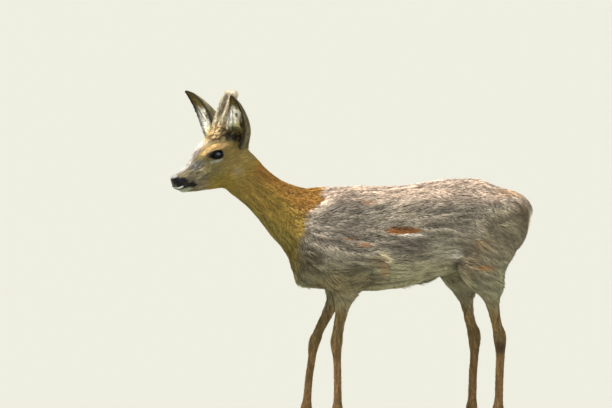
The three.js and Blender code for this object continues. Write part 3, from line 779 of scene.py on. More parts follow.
# %% [markdown]
# ## Ears
# A roe's ear is a leaf rolled into a cup, nearly closed at its root and open above. It is laid out
# as a grid of turns and heights with an inner and an outer face, thinning towards the rim, with
# shallow ribs inside. It is then joined to the skin, and the join is smoothed, so that the ear
# grows out of the head as it does on the animal. The eyes' openings are cut in the same way.

# %% Ear leaf
EAR_LENGTH = 165.0
EAR_DEPTH = 1.2
EAR_SKIN = 2.4
EAR_LEAN = 7
EAR_HOLLOW = 0.55
ear_half_at = smooth_table([
    [0, 30], [0.12, 45], [0.25, 53], [0.4, 49], [0.55, 41], [0.7, 31], [0.82, 22],
    [0.91, 14], [0.97, 7], [1, 2.5],
])
ear_curl_at = smooth_table([
    [0, 2.7], [0.12, 2.25], [0.25, 1.8], [0.4, 1.5], [0.6, 1.25], [0.8, 1], [1, 0.8],
])
EARS = {
    "ear_left": {"side": -1, "root": (206, -34, -6), "aim": (0.096, 0.454, 0.886), "turn": 0.08},
    "ear_right": {"side": 1, "root": (193, 31, 13), "aim": (0.09, 0.485, 0.87), "turn": -0.1},
}


def ear_axes(ear):
    """Across the leaf, out of its opening and along its length."""
    forward, out, up = ear["aim"]
    length = unit(np.array([-forward, ear["side"] * out, up]))
    opening = np.array([-math.cos(ear["turn"]), ear["side"] * math.sin(ear["turn"]), 0.0])
    opening = unit(opening - length * (opening @ length))
    return np.array([np.cross(opening, length), opening, length])


def ear_points(ear, height, share, layer, wall=EAR_SKIN):
    """Places on an ear: height 0 to 1, share -1 to 1 across, layer 1 for its back, -1 inside."""
    half, curl = ear_half_at(height)[1], ear_curl_at(height)[1]
    angle = share * curl
    bend = half / curl
    edge = 1 - np.abs(share) ** 10
    thick = wall * (1 - 0.45 * height) * (1 - 0.4 * share ** 2) * (0.12 + 0.88 * edge)
    ribs = 0.7 * np.cos(angle * 5.5) * (1 - height) * edge * (layer < 0)
    radius = bend + layer * 0.5 * thick + ribs
    lean = EAR_LEAN * np.sin(np.pi * height)
    across = radius * np.sin(angle)
    open_way = EAR_DEPTH * (bend * EAR_HOLLOW - radius * np.cos(angle)) - lean
    local = np.stack([across, open_way, height * EAR_LENGTH], 1)
    return from_head(local @ ear_axes(ear) + np.array(ear["root"], float))


def tube_faces(rings, around):
    """Faces of a stack of rings that closes on itself round each ring, with both ends capped."""
    faces = [list(range(around))[::-1], [(rings - 1) * around + i for i in range(around)]]
    for ring in range(rings - 1):
        for i in range(around):
            j = (i + 1) % around
            low, high = ring * around, (ring + 1) * around
            faces.append([low + i, low + j, high + j, high + i])
    return faces


EAR_ACROSS, EAR_RINGS = 34, 60
for name, ear in EARS.items():
    heights = np.linspace(0, 1, EAR_RINGS) ** 0.92
    shares = np.concatenate([np.linspace(-1, 1, EAR_ACROSS), np.linspace(1, -1, EAR_ACROSS)])
    layers = np.repeat([1, -1], EAR_ACROSS)
    height, share = np.repeat(heights, 2 * EAR_ACROSS), np.tile(shares, EAR_RINGS)
    places = ear_points(ear, height, share, np.tile(layers, EAR_RINGS))
    leaf = to_object(name, places, tube_faces(EAR_RINGS, 2 * EAR_ACROSS))
    combine(skin, facing_out(leaf, in_triangles=True), "UNION")
    print(name, "joined:", len(skin.data.polygons), "faces")

# %% Openings for the eyes
upper_lid_at = smooth_table([
    [-17.8, 0.3], [-14.8, 1.6], [-11.3, 4.4], [-7.8, 7.0], [-2.8, 9.2], [3, 9.8], [8, 8.7],
    [12.2, 5.5], [15.2, 0.3],
])
lower_lid_at = smooth_table([
    [-17.8, -0.3], [-14.8, -1.5], [-11.3, -3.2], [-7.8, -5.4], [-2.8, -7.7], [3, -8.5],
    [8, -7.5], [12.2, -4.7], [15.2, -0.3],
])


LIDS_MIDDLE, LIDS_HALF = -1.3, 16.5


def lid_line(share):
    """The rim of the opening, seen along the eye's axis: share 0 to 1 once round."""
    back = LIDS_MIDDLE + LIDS_HALF * np.cos(2 * np.pi * share)
    upper, lower = upper_lid_at(back)[1], lower_lid_at(back)[1]
    return back, np.where(share < 0.5, upper, lower)


def from_eye(side, local):
    return from_head(local @ eye_axes(side) + eye_centre(side))


# Width of each ring beside the rim's own, and its place out from the eye's centre.
RIM_RINGS = ((1.0, 3.0), (1.0, 17.0), (1.3, 34.0))
RIM_POINTS = 64
EYE_CLEARANCE = 0.15


def lid_opening(side):
    """The hole between the lids: rings of the rim's shape, set out along the eye's axis."""
    back, up = lid_line(np.arange(RIM_POINTS) / RIM_POINTS)
    rings = [
        np.stack([back * wide, up * wide, np.full(RIM_POINTS, out)], 1) for wide, out in RIM_RINGS
    ]
    places = from_eye(side, np.concatenate(rings))
    return to_object("opening", places, tube_faces(len(RIM_RINGS), RIM_POINTS))


def eye_room(side):
    """A ball a hair's breadth larger than the eyeball."""
    centre = Vector(to_frame(from_eye(side, np.zeros((1, 3))))[0])
    ball = bmesh.new()
    bmesh.ops.create_uvsphere(ball, u_segments=48, v_segments=32,
                              radius=(EYEBALL + EYE_CLEARANCE) / 1000,
                              matrix=Matrix.Translation(centre))
    mesh = bpy.data.meshes.new("eye_room")
    ball.to_mesh(mesh)
    ball.free()
    made = bpy.data.objects.new("eye_room", mesh)
    scene.collection.objects.link(made)
    return made


for side in (-1, 1):
    for tool in (lid_opening(side), eye_room(side)):
        combine(skin, facing_out(tool, in_triangles=True), "DIFFERENCE")
print("with its eyes open:", len(skin.data.polygons), "faces")

# %% Smooth the joins
def mesh_points(mesh):
    flat = np.empty(len(mesh.vertices) * 3, np.float32)
    mesh.vertices.foreach_get("co", flat)
    return flat.reshape(-1, 3).astype(float)


SMOOTHING_ROUNDS = 6
CREASE = math.radians(55)
tidy = bmesh.new()
tidy.from_mesh(skin.data)
tidy.verts.ensure_lookup_table()
places = to_body(np.array([v.co for v in tidy.verts]))
local = to_head(places)
ear_root = (local[:, 0] > 168) & (local[:, 2] > -24) & (np.abs(local[:, 1]) > 16)
ear_root &= np.abs(skin_form(places)) < 4.5
join_verts = [tidy.verts[i] for i in np.flatnonzero(ear_root)]
for _ in range(SMOOTHING_ROUNDS):
    bmesh.ops.smooth_vert(tidy, verts=join_verts, factor=0.5, use_axis_x=True,
                          use_axis_y=True, use_axis_z=True)
bmesh.ops.triangulate(tidy, faces=tidy.faces)
open_edges = sum(1 for edge in tidy.edges if len(edge.link_faces) != 2)
tidy.to_mesh(skin.data)
tidy.free()
skin.data.polygons.foreach_set("use_smooth", [True] * len(skin.data.polygons))
skin.data.set_sharp_from_angle(angle=CREASE)
FLESH = ["trunk", "neck", "head", "nose", "tail", "ear_left", "ear_right"]
FLESH += [f"{leg}_{part}" for leg in LEGS for part in ("upper", "lower")]
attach(skin, "root")
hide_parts(*FLESH)
print("skin:", len(skin.data.polygons), "faces,", open_edges, "open edges")

# %% [markdown]
# ## Markings
# Skin and coat share one set of markings, each a soft patch placed in the animal's own lengths:
# rust on the nape, grey sides, cream behind, and on the face the orange brow, dark temples, black
# nose and white chin. Light and shade are painted in as well: a paler top line, a pale bridge of
# the nose and a brighter brow as if lit from above, painted shade in folds and hollows, and an
# olive tint on the lower parts as painted green light reflected from below. Sums of soft steps
# place them on both sides alike. A painted image would be sharper, but it would need a map and
# would not repeat.

# %% Patches
def scaled(f, given, amount):
    """A place in other units, or a colour made lighter or darker."""
    made = f.vector("SCALE", given)
    socket = made.socket.node.inputs["Scale"]
    if isinstance(amount, Value):
        f.tree.links.new(amount.socket, socket)
    else:
        socket.default_value = amount
    return made


def patch(f, spot, centre, size, blur=0.35):
    """1 inside an oval of the size given, and 0 outside it."""
    seat = f.vector("SUBTRACT", spot, tuple(float(c) for c in centre))
    seat = f.vector("MULTIPLY", seat, tuple(1 / s for s in size))
    far = f.vector("LENGTH", seat, output=1)
    return f.step(far, 1 + blur, 1 - blur)


def layered(f, colour, layers):
    """Colours laid over each other, each by its own share."""
    for share, code in layers:
        colour = f.mix(share, colour, paint(code))
    return colour


# %% Markings of the body
def body_markings(f, point):
    seat = scaled(f, f.vector("SUBTRACT", point, tuple(ORIGIN)), 1000.0)
    rough = f.noise(seat, 0.035, 3, 0.6) - 0.5
    x, y, z = f.axes(seat)
    wide = abs(y)
    fine = f.noise(f.joined(x * 0.35, wide, z), 0.11, 2, 0.6) - 0.5
    from_neck = f.vector("SUBTRACT", seat, tuple(NECK_ROOT))
    nape = f.dot(from_neck, NECK_AXES[2])
    ragged = f.joined(x + rough * 26, wide + rough * 10, z + rough * 14)
    close = f.joined(x + fine * 20, wide, z + fine * 8)
    # The summer coat's edge at the neck's foot moves back as it climbs.
    collar = -134 + 24 * f.step(z, 470, 545) + 40 * f.step(z, 556, 602)
    neck = f.step(x + fine * 34 - collar, 7, -7)
    mottle = f.noise(f.joined(x * 0.3, wide, z), 0.05, 3, 0.6)
    grey = f.mix(f.step(mottle, 0.35, 0.65), paint("7b7162"), paint("938979"))
    # The neck's rust-brown coat, tinted yellow-green as painted light reflected from below.
    on_neck = f.mix(f.step(nape + rough * 24, -58, -18), paint("827335"), paint("9f8238"))
    on_neck = f.mix(f.step(nape + rough * 30, 2, 40) * 0.7, on_neck, paint("a06c28"))
    colour = layered(f, grey, [
        # Painted reflected light: the lower trunk and belly are tinted olive-green, as if lit from
        # below.
        (f.step(z + rough * 22, 490, 410) * 0.8, "989472"),
        (patch(f, ragged, (318, 80, 452), (64, 60, 56), 0.6) * 0.75, "8d8168"),  # thigh
        (patch(f, ragged, (232, 90, 480), (34, 60, 34), 0.6) * 0.6, "a09c84"),  # pale flank
        (patch(f, ragged, (-10, 70, 392), (86, 80, 34), 0.5) * 0.8, "6f6040"),  # elbow
        (patch(f, ragged, (-20, 70, 520), (80, 60, 78), 0.5) * 0.6, "93877a"),  # shoulder
        # Painted highlight: the top line of the back is painted paler, as if lit from above.
        (f.step(z + rough * 16, 570, 622) * 0.85, "cab3a0"),
        (patch(f, ragged, (396, 70, 512), (64, 60, 60), 0.5) * 0.6, "7a6f50"),  # haunch
        # Painted shade: the breast is darker, as the shade under the neck.
        (patch(f, ragged, (-106, 40, 448), (46, 70, 46), 0.5) * 0.85, "4c432a"),  # breast
        # Pale locks behind the neck's rust, painted brighter as the highlight on their raised ends.
        (patch(f, close, (-94, 60, 573), (26, 60, 8), 0.5) * 0.65, "e0cdb8"),  # pale locks
        (patch(f, close, (-66, 60, 593), (28, 60, 9), 0.5) * 0.65, "e0cdb8"),  # more above
    ])
    colour = f.mix(neck, colour, on_neck)
    leg = f.step(z + rough * 20, 372, 300)
    shin = f.mix(f.step(z, 250, 180), paint("80693f"), paint("8d6d43"))
    colour = f.mix(leg, colour, shin)
    hock_side = f.step(wide, 52, 62) * f.step(x, 200, 240)
    return layered(f, colour, [
        # Painted shade on the front of the breast, under the neck.
        (patch(f, ragged, (-142, 0, 462), (26, 90, 50), 0.6) * 0.6, "5b4b22"),  # breast, front
        (patch(f, close, (131, 98, 523), (42, 40, 9.5), 0.25) * 0.9, "915a22"),  # rust in the gap
        # Painted shadow: a dark edge along the top of the gap.
        (patch(f, close, (126, 98, 529), (34, 40, 4.5), 0.5) * 0.7, "4a3017"),  # dark edge
        # Painted highlight: the pale lip on the raised lock below the gap.
        (patch(f, close, (152, 98, 512), (34, 40, 4.5), 0.5) * 0.6, "dcd3c6"),  # pale lip
        (patch(f, close, (-4, 90, 504), (16, 40, 4), 0.5) * 0.6, "9a6a3a"),  # smaller gaps
        (patch(f, close, (32, 90, 488), (15, 40, 5), 0.5) * 0.6, "a06c38"),
        (patch(f, close, (42, 90, 592), (24, 40, 5), 0.5) * 0.6, "a56c38"),
        (patch(f, close, (66, 90, 447), (22, 50, 15), 0.5) * 0.45, "6b5030"),  # shoulder fold
        (patch(f, close, (81, 90, 463), (10, 50, 7), 0.5) * 0.75, "dccba8"),  # pale hook
        (patch(f, close, (95, 90, 449), (7, 50, 10), 0.5) * 0.75, "dccba8"),
        (patch(f, close, (84, 90, 425), (12, 50, 20), 0.5) * 0.5, "8d6a38"),  # rust below
        # Painted shade: a dark band where the upper arm shades the chest.
        (patch(f, ragged, (0, 90, 424), (60, 50, 12), 0.7) * 0.5, "4a4326"),  # over the foreleg
        (patch(f, ragged, (264, 90, 462), (16, 40, 15), 0.5) * 0.55, "cfccbc"),  # flank fold
        # Painted shade: the hollow between the belly and the thigh.
        (patch(f, ragged, (258, 90, 424), (13, 40, 24)) * 0.85, "352d1c"),  # fold of the thigh
        (patch(f, ragged, (300, 90, 436), (24, 30, 40), 0.6) * 0.5, "66553c"),  # thigh, front
        (patch(f, close, (338, 90, 431), (20, 40, 6), 0.5) * 0.75, "9c6626"),  # rust on the thigh
        (patch(f, close, (324, 90, 488), (16, 40, 14), 0.5) * 0.4, "8f6a40"),
        (patch(f, ragged, (404, 30, 618), (36, 50, 12), 0.6) * 0.5, "b88f60"),  # croup
        (patch(f, ragged, (432, 66, 578), (24, 34, 24), 0.5) * 0.6, "5d4b32"),  # by the rump
        (patch(f, ragged, (440, 66, 548), (26, 30, 34), 0.5) * 0.5, "5a4d36"),
        (patch(f, ragged, (478, 0, 528), (56, 47, 50), 0.2) * 0.9, "e6dcc6"),  # rump patch
        (patch(f, ragged, (345, 66, 226), (60, 12, 20), 0.4) * hock_side, "4b3723"),  # hock tuft
        (f.step(z, 52, 32), "5c4630"),
    ])


# %% Markings of the face
def head_place(f, point):
    """Back from the nose tip, out from the middle and up, in millimetres."""
    seat = f.vector("SUBTRACT", point, tuple(to_frame(NOSE_TIP)))
    back, side, up = (f.dot(seat, axis) * 1000 for axis in HEAD_AXES)
    return back, abs(side), up


def eye_place(f, local):
    """The same place seen along the eye's own axis: back, up and out of the socket."""
    seat = f.vector("SUBTRACT", local, tuple(eye_centre(1)))
    back, up, out = (f.dot(seat, axis) for axis in eye_axes(1))
    return f.joined(back, up, 0.0), f.step(out, 2, 8)


def crown_folds_painted_light(f, place, share, colour):
    """The wrinkled brow of the crown: painted shade in its creases, a painted highlight on its
    ridges, and near-black flecks.
    """
    back, side, up = place
    flecks = f.noise(f.joined(back * 0.6, side * 0.6, up), 0.26, 2, 0.5)
    wrinkles = f.noise(f.joined(back * 0.055, side * 0.12, up * 0.27), 1.0, 2, 0.5)
    colour = f.mix(share * f.step(wrinkles, 0.5, 0.56) * 0.9, colour, paint("4f3a1c"))
    colour = f.mix(share * f.step(wrinkles, 0.46, 0.4) * 0.85, colour, paint("f6dcaa"))
    return f.mix(share * f.step(flecks, 0.57, 0.62) * 0.9, colour, paint("2c2014"))


def face_markings(f, point):
    back, side, up = head_place(f, point)
    local = f.joined(back, side, up)
    by_eye, out = eye_place(f, local)
    fine = f.noise(f.joined(back * 0.5, side, up), 0.19, 3, 0.6) - 0.5
    seat = f.joined(back + fine * 9, side + fine * 5, up + fine * 5)
    streaks = f.noise(f.joined(back * 0.07, side * 0.3, up + back * 0.25), 0.3, 2, 0.5)
    flecks = f.noise(f.joined(back * 0.6, side * 0.6, up), 0.26, 2, 0.5)
    # The face's brown, tinted olive and yellower low down, as painted green light reflected from
    # below.
    brown = f.mix(f.step(up + fine * 20, -58, -22), paint("9c8536"), paint("8a7d4c"))
    mouth = abs(up - mouth_level(back))
    muzzle = patch(f, seat, (58, 22, -14), (36, 20, 17), 0.5)
    bridge = patch(f, seat, (70, 20, 6), (22, 16, 10), 0.4)
    colour = layered(f, brown, [
        (f.step(back + fine * 16, 96, 62) * 0.8, "8d8168"),
        (patch(f, seat, (168, 36, -24), (44, 30, 40), 0.5) * 0.75, "a68c4a"),  # cheek
        (patch(f, seat, (156, 40, -60), (17, 26, 24), 0.6) * 0.5, "b39c5e"),  # corner of the jaw
        (patch(f, seat, (158, 44, -54), (10, 20, 8), 0.6) * 0.25, "b8b0a4"),  # pale fleck on it
        (muzzle * f.step(streaks, 0.5, 0.62) * 0.8, "c4b48e"),  # pale streaks on the muzzle
        (muzzle * f.step(streaks, 0.46, 0.36) * 0.7, "645a48"),  # and dark ones between
        (bridge * 0.75, "6c6a66"),  # grey behind the nose
        (bridge * f.step(flecks, 0.52, 0.62), "aca69e"),
        # Painted highlight: the bridge, forehead and top of the nose are painted pale, as if lit
        # from above.
        (patch(f, seat, (96, 0, 42), (76, 15, 24), 0.45) * 0.8, "b8abac"),  # bridge of the nose
        (patch(f, seat, (126, 0, 52), (46, 24, 16), 0.5) * 0.95, "f0e4d8"),  # pale forehead
        (patch(f, seat, (44, 0, 16), (44, 12, 13), 0.4) * 0.9, "dcd7d2"),  # white above the nose
        (patch(f, seat, (158, 8, 52), (36, 34, 20), 0.4), "c4a468"),  # tan crown
    ])
    crown = patch(f, seat, (160, 20, 50), (34, 26, 20), 0.4)
    # The crown's creases and ridges, with painted shade and highlight.
    colour = crown_folds_painted_light(f, (back, side, up), crown, colour)
    lines = f.noise(f.vector("MULTIPLY", by_eye, (0.05, 0.5, 0.0)), 1.0, 2, 0.5)
    rough = f.joined(back + fine * 22, side, up + fine * 12)
    temple = patch(f, rough, (176, 38, 36), (12, 20, 12), 0.5)
    temple = f.most(temple, patch(f, rough, (188, 38, 26), (14, 20, 9), 0.5))
    temple = f.most(temple, patch(f, rough, (202, 40, 15), (12, 20, 6), 0.5))
    # The orange brow, painted paler as a highlight where the light catches the brow ridge.
    brow = patch(f, by_eye, (5, 19.3, 0), (28, 7.8, 1), 0.4)
    brow = f.most(brow, patch(f, by_eye, (-23, 9, 0), (15, 7, 1), 0.5) * 0.8)
    brow = f.most(brow, patch(f, by_eye, (-26, 24, 0), (18, 7, 1), 0.5) * 0.5)
    brow = brow * f.step(side, 10, 16)
    return layered(f, colour, [
        (brow * (0.65 + 0.35 * f.step(lines, 0.4, 0.52)), "ffd896"),
        (brow * f.step(lines, 0.44, 0.36) * 0.45, "8d6e40"),
        (temple * f.step(flecks + temple * 0.12, 0.44, 0.52), "1d150b"),
        (patch(f, by_eye, (-2, -14.5, 0), (18, 4.5, 1), 0.5) * 0.8 * out, "aeb09a"),  # below the eye
        # The gland's dark skin before the eye, with the shade under the brow painted in.
        (patch(f, by_eye, (-15, 4, 0), (13, 7.5, 1), 0.4) * 0.9 * out, "2a2b26"),  # front corner
        (patch(f, by_eye, (0.8, 0.8, 0), (19.8, 11.8, 1), 0.12) * out, "0a0807"),  # rim of the lids
        (patch(f, seat, (13, 16, -15), (18, 14, 14), 0.18), "050404"),  # round the nostril
        (patch(f, seat, (20, 20, -21), (13, 14, 9), 0.25), "060505"),  # behind it
        (patch(f, seat, (33, 18, -30), (16, 14, 6), 0.3), "070605"),  # upper lip
        (patch(f, seat, (43, 18, -36), (10, 14, 4.5), 0.35), "0a0807"),  # mouth's corner
        (patch(f, seat, (6, 15, -23), (9, 16, 3), 0.3) * 0.95, "eef0e2"),  # under the nose
        # The white chin, tinted green as painted light reflected from below.
        (patch(f, seat, (16, 8, -39), (20, 16, 8.5), 0.3) * 0.95, "a9b396"),  # chin
        (f.step(mouth, 1.7, 0.7) * f.step(back, 52, 40) * 0.9, "120f0c"),
    ])


# %% Markings of the ears
def ear_seat(points, ear):
    """Height, turn and face (negative inside) of places on an ear, and how near its wall."""
    local = (to_head(points) - np.array(ear["root"], float)) @ ear_axes(ear).T
    height = np.clip(local[:, 2] / EAR_LENGTH, 0, 1)
    half, curl = ear_half_at(height)[1], ear_curl_at(height)[1]
    bend = half / curl
    lean = EAR_LEAN * np.sin(np.pi * height)
    depth = (EAR_DEPTH * bend * EAR_HOLLOW - lean - local[:, 1]) / EAR_DEPTH
    share = np.arctan2(local[:, 0], depth) / curl
    face = np.hypot(local[:, 0], depth) - bend
    near = (np.abs(face) < 7) & (np.abs(share) < 1.15) & (local[:, 2] > 0)
    return height, share, face, near & (local[:, 2] < EAR_LENGTH + 3)


def ear_marks(points):
    """Three numbers for each place: its turn inside an ear from 1 to 2, rim with painted shade
    inside the rear edge, and height.
    """
    marks = np.zeros((len(points), 3))
    off_head = rise(skin_form(points), 0.5, 5.0)
    for ear in EARS.values():
        height, share, face, near = ear_seat(points, ear)
        here = near * off_head
        rim = rise(np.abs(share) + 0.25 * rise(height, 0.7, 1.0), 0.78, 1.0)
        # Painted light and shade: a lighter front rim on the near ear, and a shadow inside each rear
        # edge.
        rim = rim * (1 - 0.7 * rise(share, 0.5, 1.0) * (ear["side"] < 0))
        behind = rise(-share, 0.42, 0.6) * (0.3 + 0.7 * (ear["side"] < 0))
        rim = np.maximum(rim, behind * (face < 0))
        values = np.stack([rise(-face, -0.3, 0.3) * (1.5 + 0.5 * share),
                           np.maximum(rim, rise(height, 0.9, 1.0)), 0.2 + 0.8 * height], 1)
        marks = np.where((here > 0)[:, None], values * here[:, None], marks)
    return marks


def ear_markings(f, point, ear, colour):
    turn, rim, tall = f.axes(ear)
    inside = f.step(turn, 0.3, 0.8)
    patchy = f.noise(point, 75.0, 2, 0.6)
    streaks = f.noise(f.joined(turn * 14, tall * 1.6, inside), 1.0, 2, 0.5)
    back = f.mix(f.step(patchy, 0.35, 0.65), paint("645a34"), paint("857a5e"))
    back = f.mix(rim * 0.9, back, paint("1f170e"))
    blots = f.noise(f.joined(turn * 4.5, tall * 4.5, inside), 1.0, 2, 0.6)
    front = f.step(turn + (streaks - 0.5) * 0.4 + (blots - 0.5) * 0.8, 1.6, 1.72)
    pale = front * f.step(tall + (blots - 0.5) * 0.5, 0.8, 0.62)
    pale = pale * f.step(blots - tall * 0.3, 0.13, 0.2)
    dappled = f.step(streaks * 0.5 + blots * 0.5, 0.42, 0.54)
    # Painted reflected light: the olive inside the ear and the greenish cream low in its cup.
    within = f.mix(dappled, paint("3b3114"), paint("9c8a4a"))
    white = f.mix(f.step(tall, 0.36, 0.5), paint("c9c48c"), paint("fdfaf0"))
    within = f.mix(pale, within, white)
    within = f.mix(f.step(tall + (blots - 0.5) * 0.4, 0.66, 0.84), within, paint("75663a"))
    within = f.mix(rim * 0.9, within, paint("1f170e"))
    return f.mix(f.step(tall, 0.08, 0.3), colour, f.mix(inside, back, within))


def markings(f, point, ear):
    seat = f.vector("SUBTRACT", point, tuple(to_frame(NECK_ROOT)))
    along = f.dot(seat, NECK_AXES[0]) * 1000
    colour = f.mix(f.step(along, 196, 226), body_markings(f, point), face_markings(f, point))
    return ear_markings(f, point, ear, colour)


# %% [markdown]
# ## Finishes of the skin and coat
# The coat's finish reads each strand's root, so a whole strand takes the colour of its place. It
# is darker at the root, as painted shade where light doesn't reach, and paler at the tip, and it
# varies from strand to strand and from lock to lock; on the body its raised locks are painted
# lighter and its sunken ones darker, as painted light and shade. The skin below takes the same
# markings, darker, as painted shade between the strands, with a fine bump for the shortest hair,
# and turns to wet black leather on the nose, with a painted highlight on its top.

# %% Coat finish
def coat_material():
    f = Finish("roe_coat")
    point = f.attribute("place")
    ear = f.attribute("ear")
    along = f.attribute("along", 2)
    lot = f.attribute("lot", 2)
    clump = f.attribute("clump", 2)
    colour = markings(f, point, ear)
    # Painted light and shade: darker at the root, and on the body lighter on raised locks, darker on
    # sunken ones.
    light = f.step(along, 0.0, 0.9) * 0.5 + f.step(clump, -0.8, 0.8) * 0.7 + lot * 0.3
    # Painted light: the front half of the inner ear is made brighter than its hair, as if lit.
    ear_front_painted_light = f.step(f.axes(ear)[0], 1.45, 1.75)
    colour = scaled(f, colour, light + 0.3 + ear_front_painted_light * 0.25)
    # Paler tips, strongest on the raised locks: the hair's pale bands with painted light.
    pale = f.step(along, 0.4, 1.0) * f.step(clump + lot * 0.5, 0.35, 1.1)
    colour = scaled(f, colour, pale * 0.4 + 1)
    f.set(Base_Color=colour, Roughness=0.62, Specular_IOR_Level=0.3, Sheen_Weight=0.06,
          Sheen_Roughness=0.5)
    return f.material


coat_finish = coat_material()


# %% Skin finish
def skin_material():
    f = Finish("roe_skin")
    point = f.place()
    back, side, up = head_place(f, point)
    leather = f.step(back, 16.5, 13.5) * f.step(up, -22.5, -20.5)
    by_eye, out = eye_place(f, f.joined(back, side, up))
    around_eye = patch(f, by_eye, (0.8, 0.8, 0), (20.8, 13.2, 1), 0.06) * out
    # Painted shade: the skin takes the markings darker, as the shade between the strands.
    colour = scaled(f, markings(f, point, f.attribute("ear")), 0.72)
    colour = f.mix(around_eye, colour, paint("0a0807"))
    # Black leather on the nose, with its top painted grey as the highlight of the wet pad.
    colour = f.mix(leather, colour, f.mix(f.step(up, 1, 6), paint("060505"), paint("8f8d88")))
    stretched = f.vector("MULTIPLY", point, (0.35, 1.0, 0.7))
    hair = f.noise(stretched, 1500, 3, 0.6)
    pebbles = f.node("ShaderNodeTexVoronoi", None, {"Vector": point, "Scale": 900.0})
    height = hair * (1 - leather) + pebbles * leather
    shine = 0.75 - 0.42 * leather - 0.35 * around_eye
    f.set(Base_Color=colour, Roughness=shine, Specular_IOR_Level=0.2,
          Normal=f.bump(height, 0.0004, 0.7))
    return f.material


marks = ear_marks(to_body(mesh_points(skin.data)))
layer = skin.data.attributes.new("ear", "FLOAT_VECTOR", "POINT")
layer.data.foreach_set("vector", marks.astype(np.float32).ravel())
skin.data.materials.clear()
skin.data.materials.append(skin_material())
print("skin and coat finishes made")

# %% [markdown]
# ## Eyes
# A roe's eye is large, nearly black and wet, with a pupil that lies level. Each eyeball
# is turned like a lathe piece about its line of sight, with the clear front bulging a little out
# of the ball. Iris and rim are rings measured from that axis, the pupil is an oval set level a
# little behind and above it and painted blue-grey as a reflection of the sky, and a low roughness
# makes the eye wet.

# %% Eyeballs
BOTH_SIDES = ((-1, "left"), (1, "right"))
# The pupil's oval is also a painted reflection of the sky, set back and up from the axis.
PUPIL_GLINT_BACK, PUPIL_GLINT_UP = 4.2, 3.0
PUPIL_GLINT_HALF_LONG, PUPIL_GLINT_HALF_HIGH = 6.4, 3.6


def turned(name, profile, axes_to_body, around=64):
    """A closed form turned round an axis: profile holds radius and place along the axis."""
    profile = np.array(profile, float)
    turns = np.linspace(0, 2 * np.pi, around, endpoint=False)
    rings = [
        np.stack([r * np.cos(turns), r * np.sin(turns), np.full(around, z)], 1)
        for r, z in profile
    ]
    return to_object(name, axes_to_body(np.concatenate(rings)), tube_faces(len(profile), around))


def eye_profile():
    angles = np.radians(np.linspace(178.5, 1.5, 44))
    bulge = 0.9 * rise(np.degrees(angles), 44, 30)
    radius = EYEBALL + bulge * np.cos(angles) ** 2
    return np.stack([radius * np.sin(angles), radius * np.cos(angles)], 1)


def lens_finish(side):
    finish = Finish("wet_eye_" + ("left" if side < 0 else "right"))
    centre = to_frame(from_eye(side, np.zeros((1, 3))))[0]
    seen = finish.vector("SUBTRACT", finish.place(), tuple(centre))
    axes = eye_axes(side) @ HEAD_AXES
    level_axis = unit(np.array([axes[2][1], -axes[2][0], 0.0]))
    up_axis = np.cross(level_axis, axes[2])
    across = finish.dot(seen, level_axis) * 1000
    above = finish.dot(seen, up_axis) * 1000
    out = (across * across + above * above) ** 0.5
    from_pupil_glint = (across - side * PUPIL_GLINT_BACK) / PUPIL_GLINT_HALF_LONG
    over_pupil_glint = (above - PUPIL_GLINT_UP) / PUPIL_GLINT_HALF_HIGH
    pupil_and_glint = (from_pupil_glint ** 2.0 + over_pupil_glint ** 2.0) ** 0.5
    turn = finish.node("ShaderNodeMath", {"operation": "ARCTAN2"}, {0: above, 1: across})
    rays = finish.noise(finish.joined(turn * 9, out * 0.25, 0.0), 1.4, 3)
    iris = finish.mix(rays, paint("0b0705"), paint("1d120b"))
    rim = finish.step(out, 9.2, 10.8)
    colour = finish.mix(rim, iris, paint("0a0706"))
    # Painted reflection: the pupil is coloured blue-grey, as the sky seen in the wet eye.
    colour = finish.mix(finish.step(pupil_and_glint, 1.15, 0.55), colour, paint("3f5064"))
    finish.set(Base_Color=colour, Roughness=0.06, IOR=1.38, Specular_IOR_Level=0.2)
    return finish.material


for side, word in BOTH_SIDES:
    eye = turned("eyeball_" + word, eye_profile(), lambda p, s=side: from_eye(s, p))
    facing_out(eye)
    eye.data.materials.append(lens_finish(side))
    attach(eye, "root")
    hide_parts("eye_" + word)
print("two eyeballs,", len(eye.data.polygons), "faces each")

# %% [markdown]
# ## Antlers in velvet
# A yearling's first antlers are short spikes, still wrapped in furry skin in spring. The beam is a
# ring loft along a slightly bowed line, with the knobbly swellings of growing antler. Its foot
# goes deep into the head, so that no gap shows round it. The pile of short hair is set on it
# later, together with the whiskers and lashes.

# %% Soft noise for shapes
def cloud(points, size, seed):
    """Smooth random values, about -1 to 1, that change over the size given."""
    grid = np.asarray(points, float) / size + 1000.0
    base = np.floor(grid).astype(np.int64)
    part = grid - base
    part = part * part * (3 - 2 * part)
    total = np.zeros(len(grid))
    for corner in range(8):
        offset = np.array([corner & 1, corner >> 1 & 1, corner >> 2])
        x, y, z = (base + offset).T
        mixed = (x * 73856093) ^ (y * 19349663) ^ (z * 83492791) ^ (seed * 2654435)
        mixed = ((mixed ^ (mixed >> 13)) * 1274126177) & 0x7FFFFFFF
        weight = np.prod(np.where(offset, part, 1 - part), 1)
        total += weight * ((mixed ^ (mixed >> 16)) % 65536 / 32768 - 1)
    return total * 1.6


# %% Antler beams
# Back, out and up of the root and of the tip, on the head; the foot goes on below the root.
ANTLER_ROOT, ANTLER_TIP = (166.0, 17.5, 52.0), (250.0, 16.5, 125.0)
ANTLER_LENGTH = 111.0
ANTLER_FOOT = 28.0
PILE_DEPTH = 0.7
antler_radius_at = smooth_table([
    [0, 11], [0.15, 10.5], [0.35, 8.8], [0.6, 8.8], [0.8, 10.2], [0.92, 9.6], [0.98, 6], [1, 2],
])


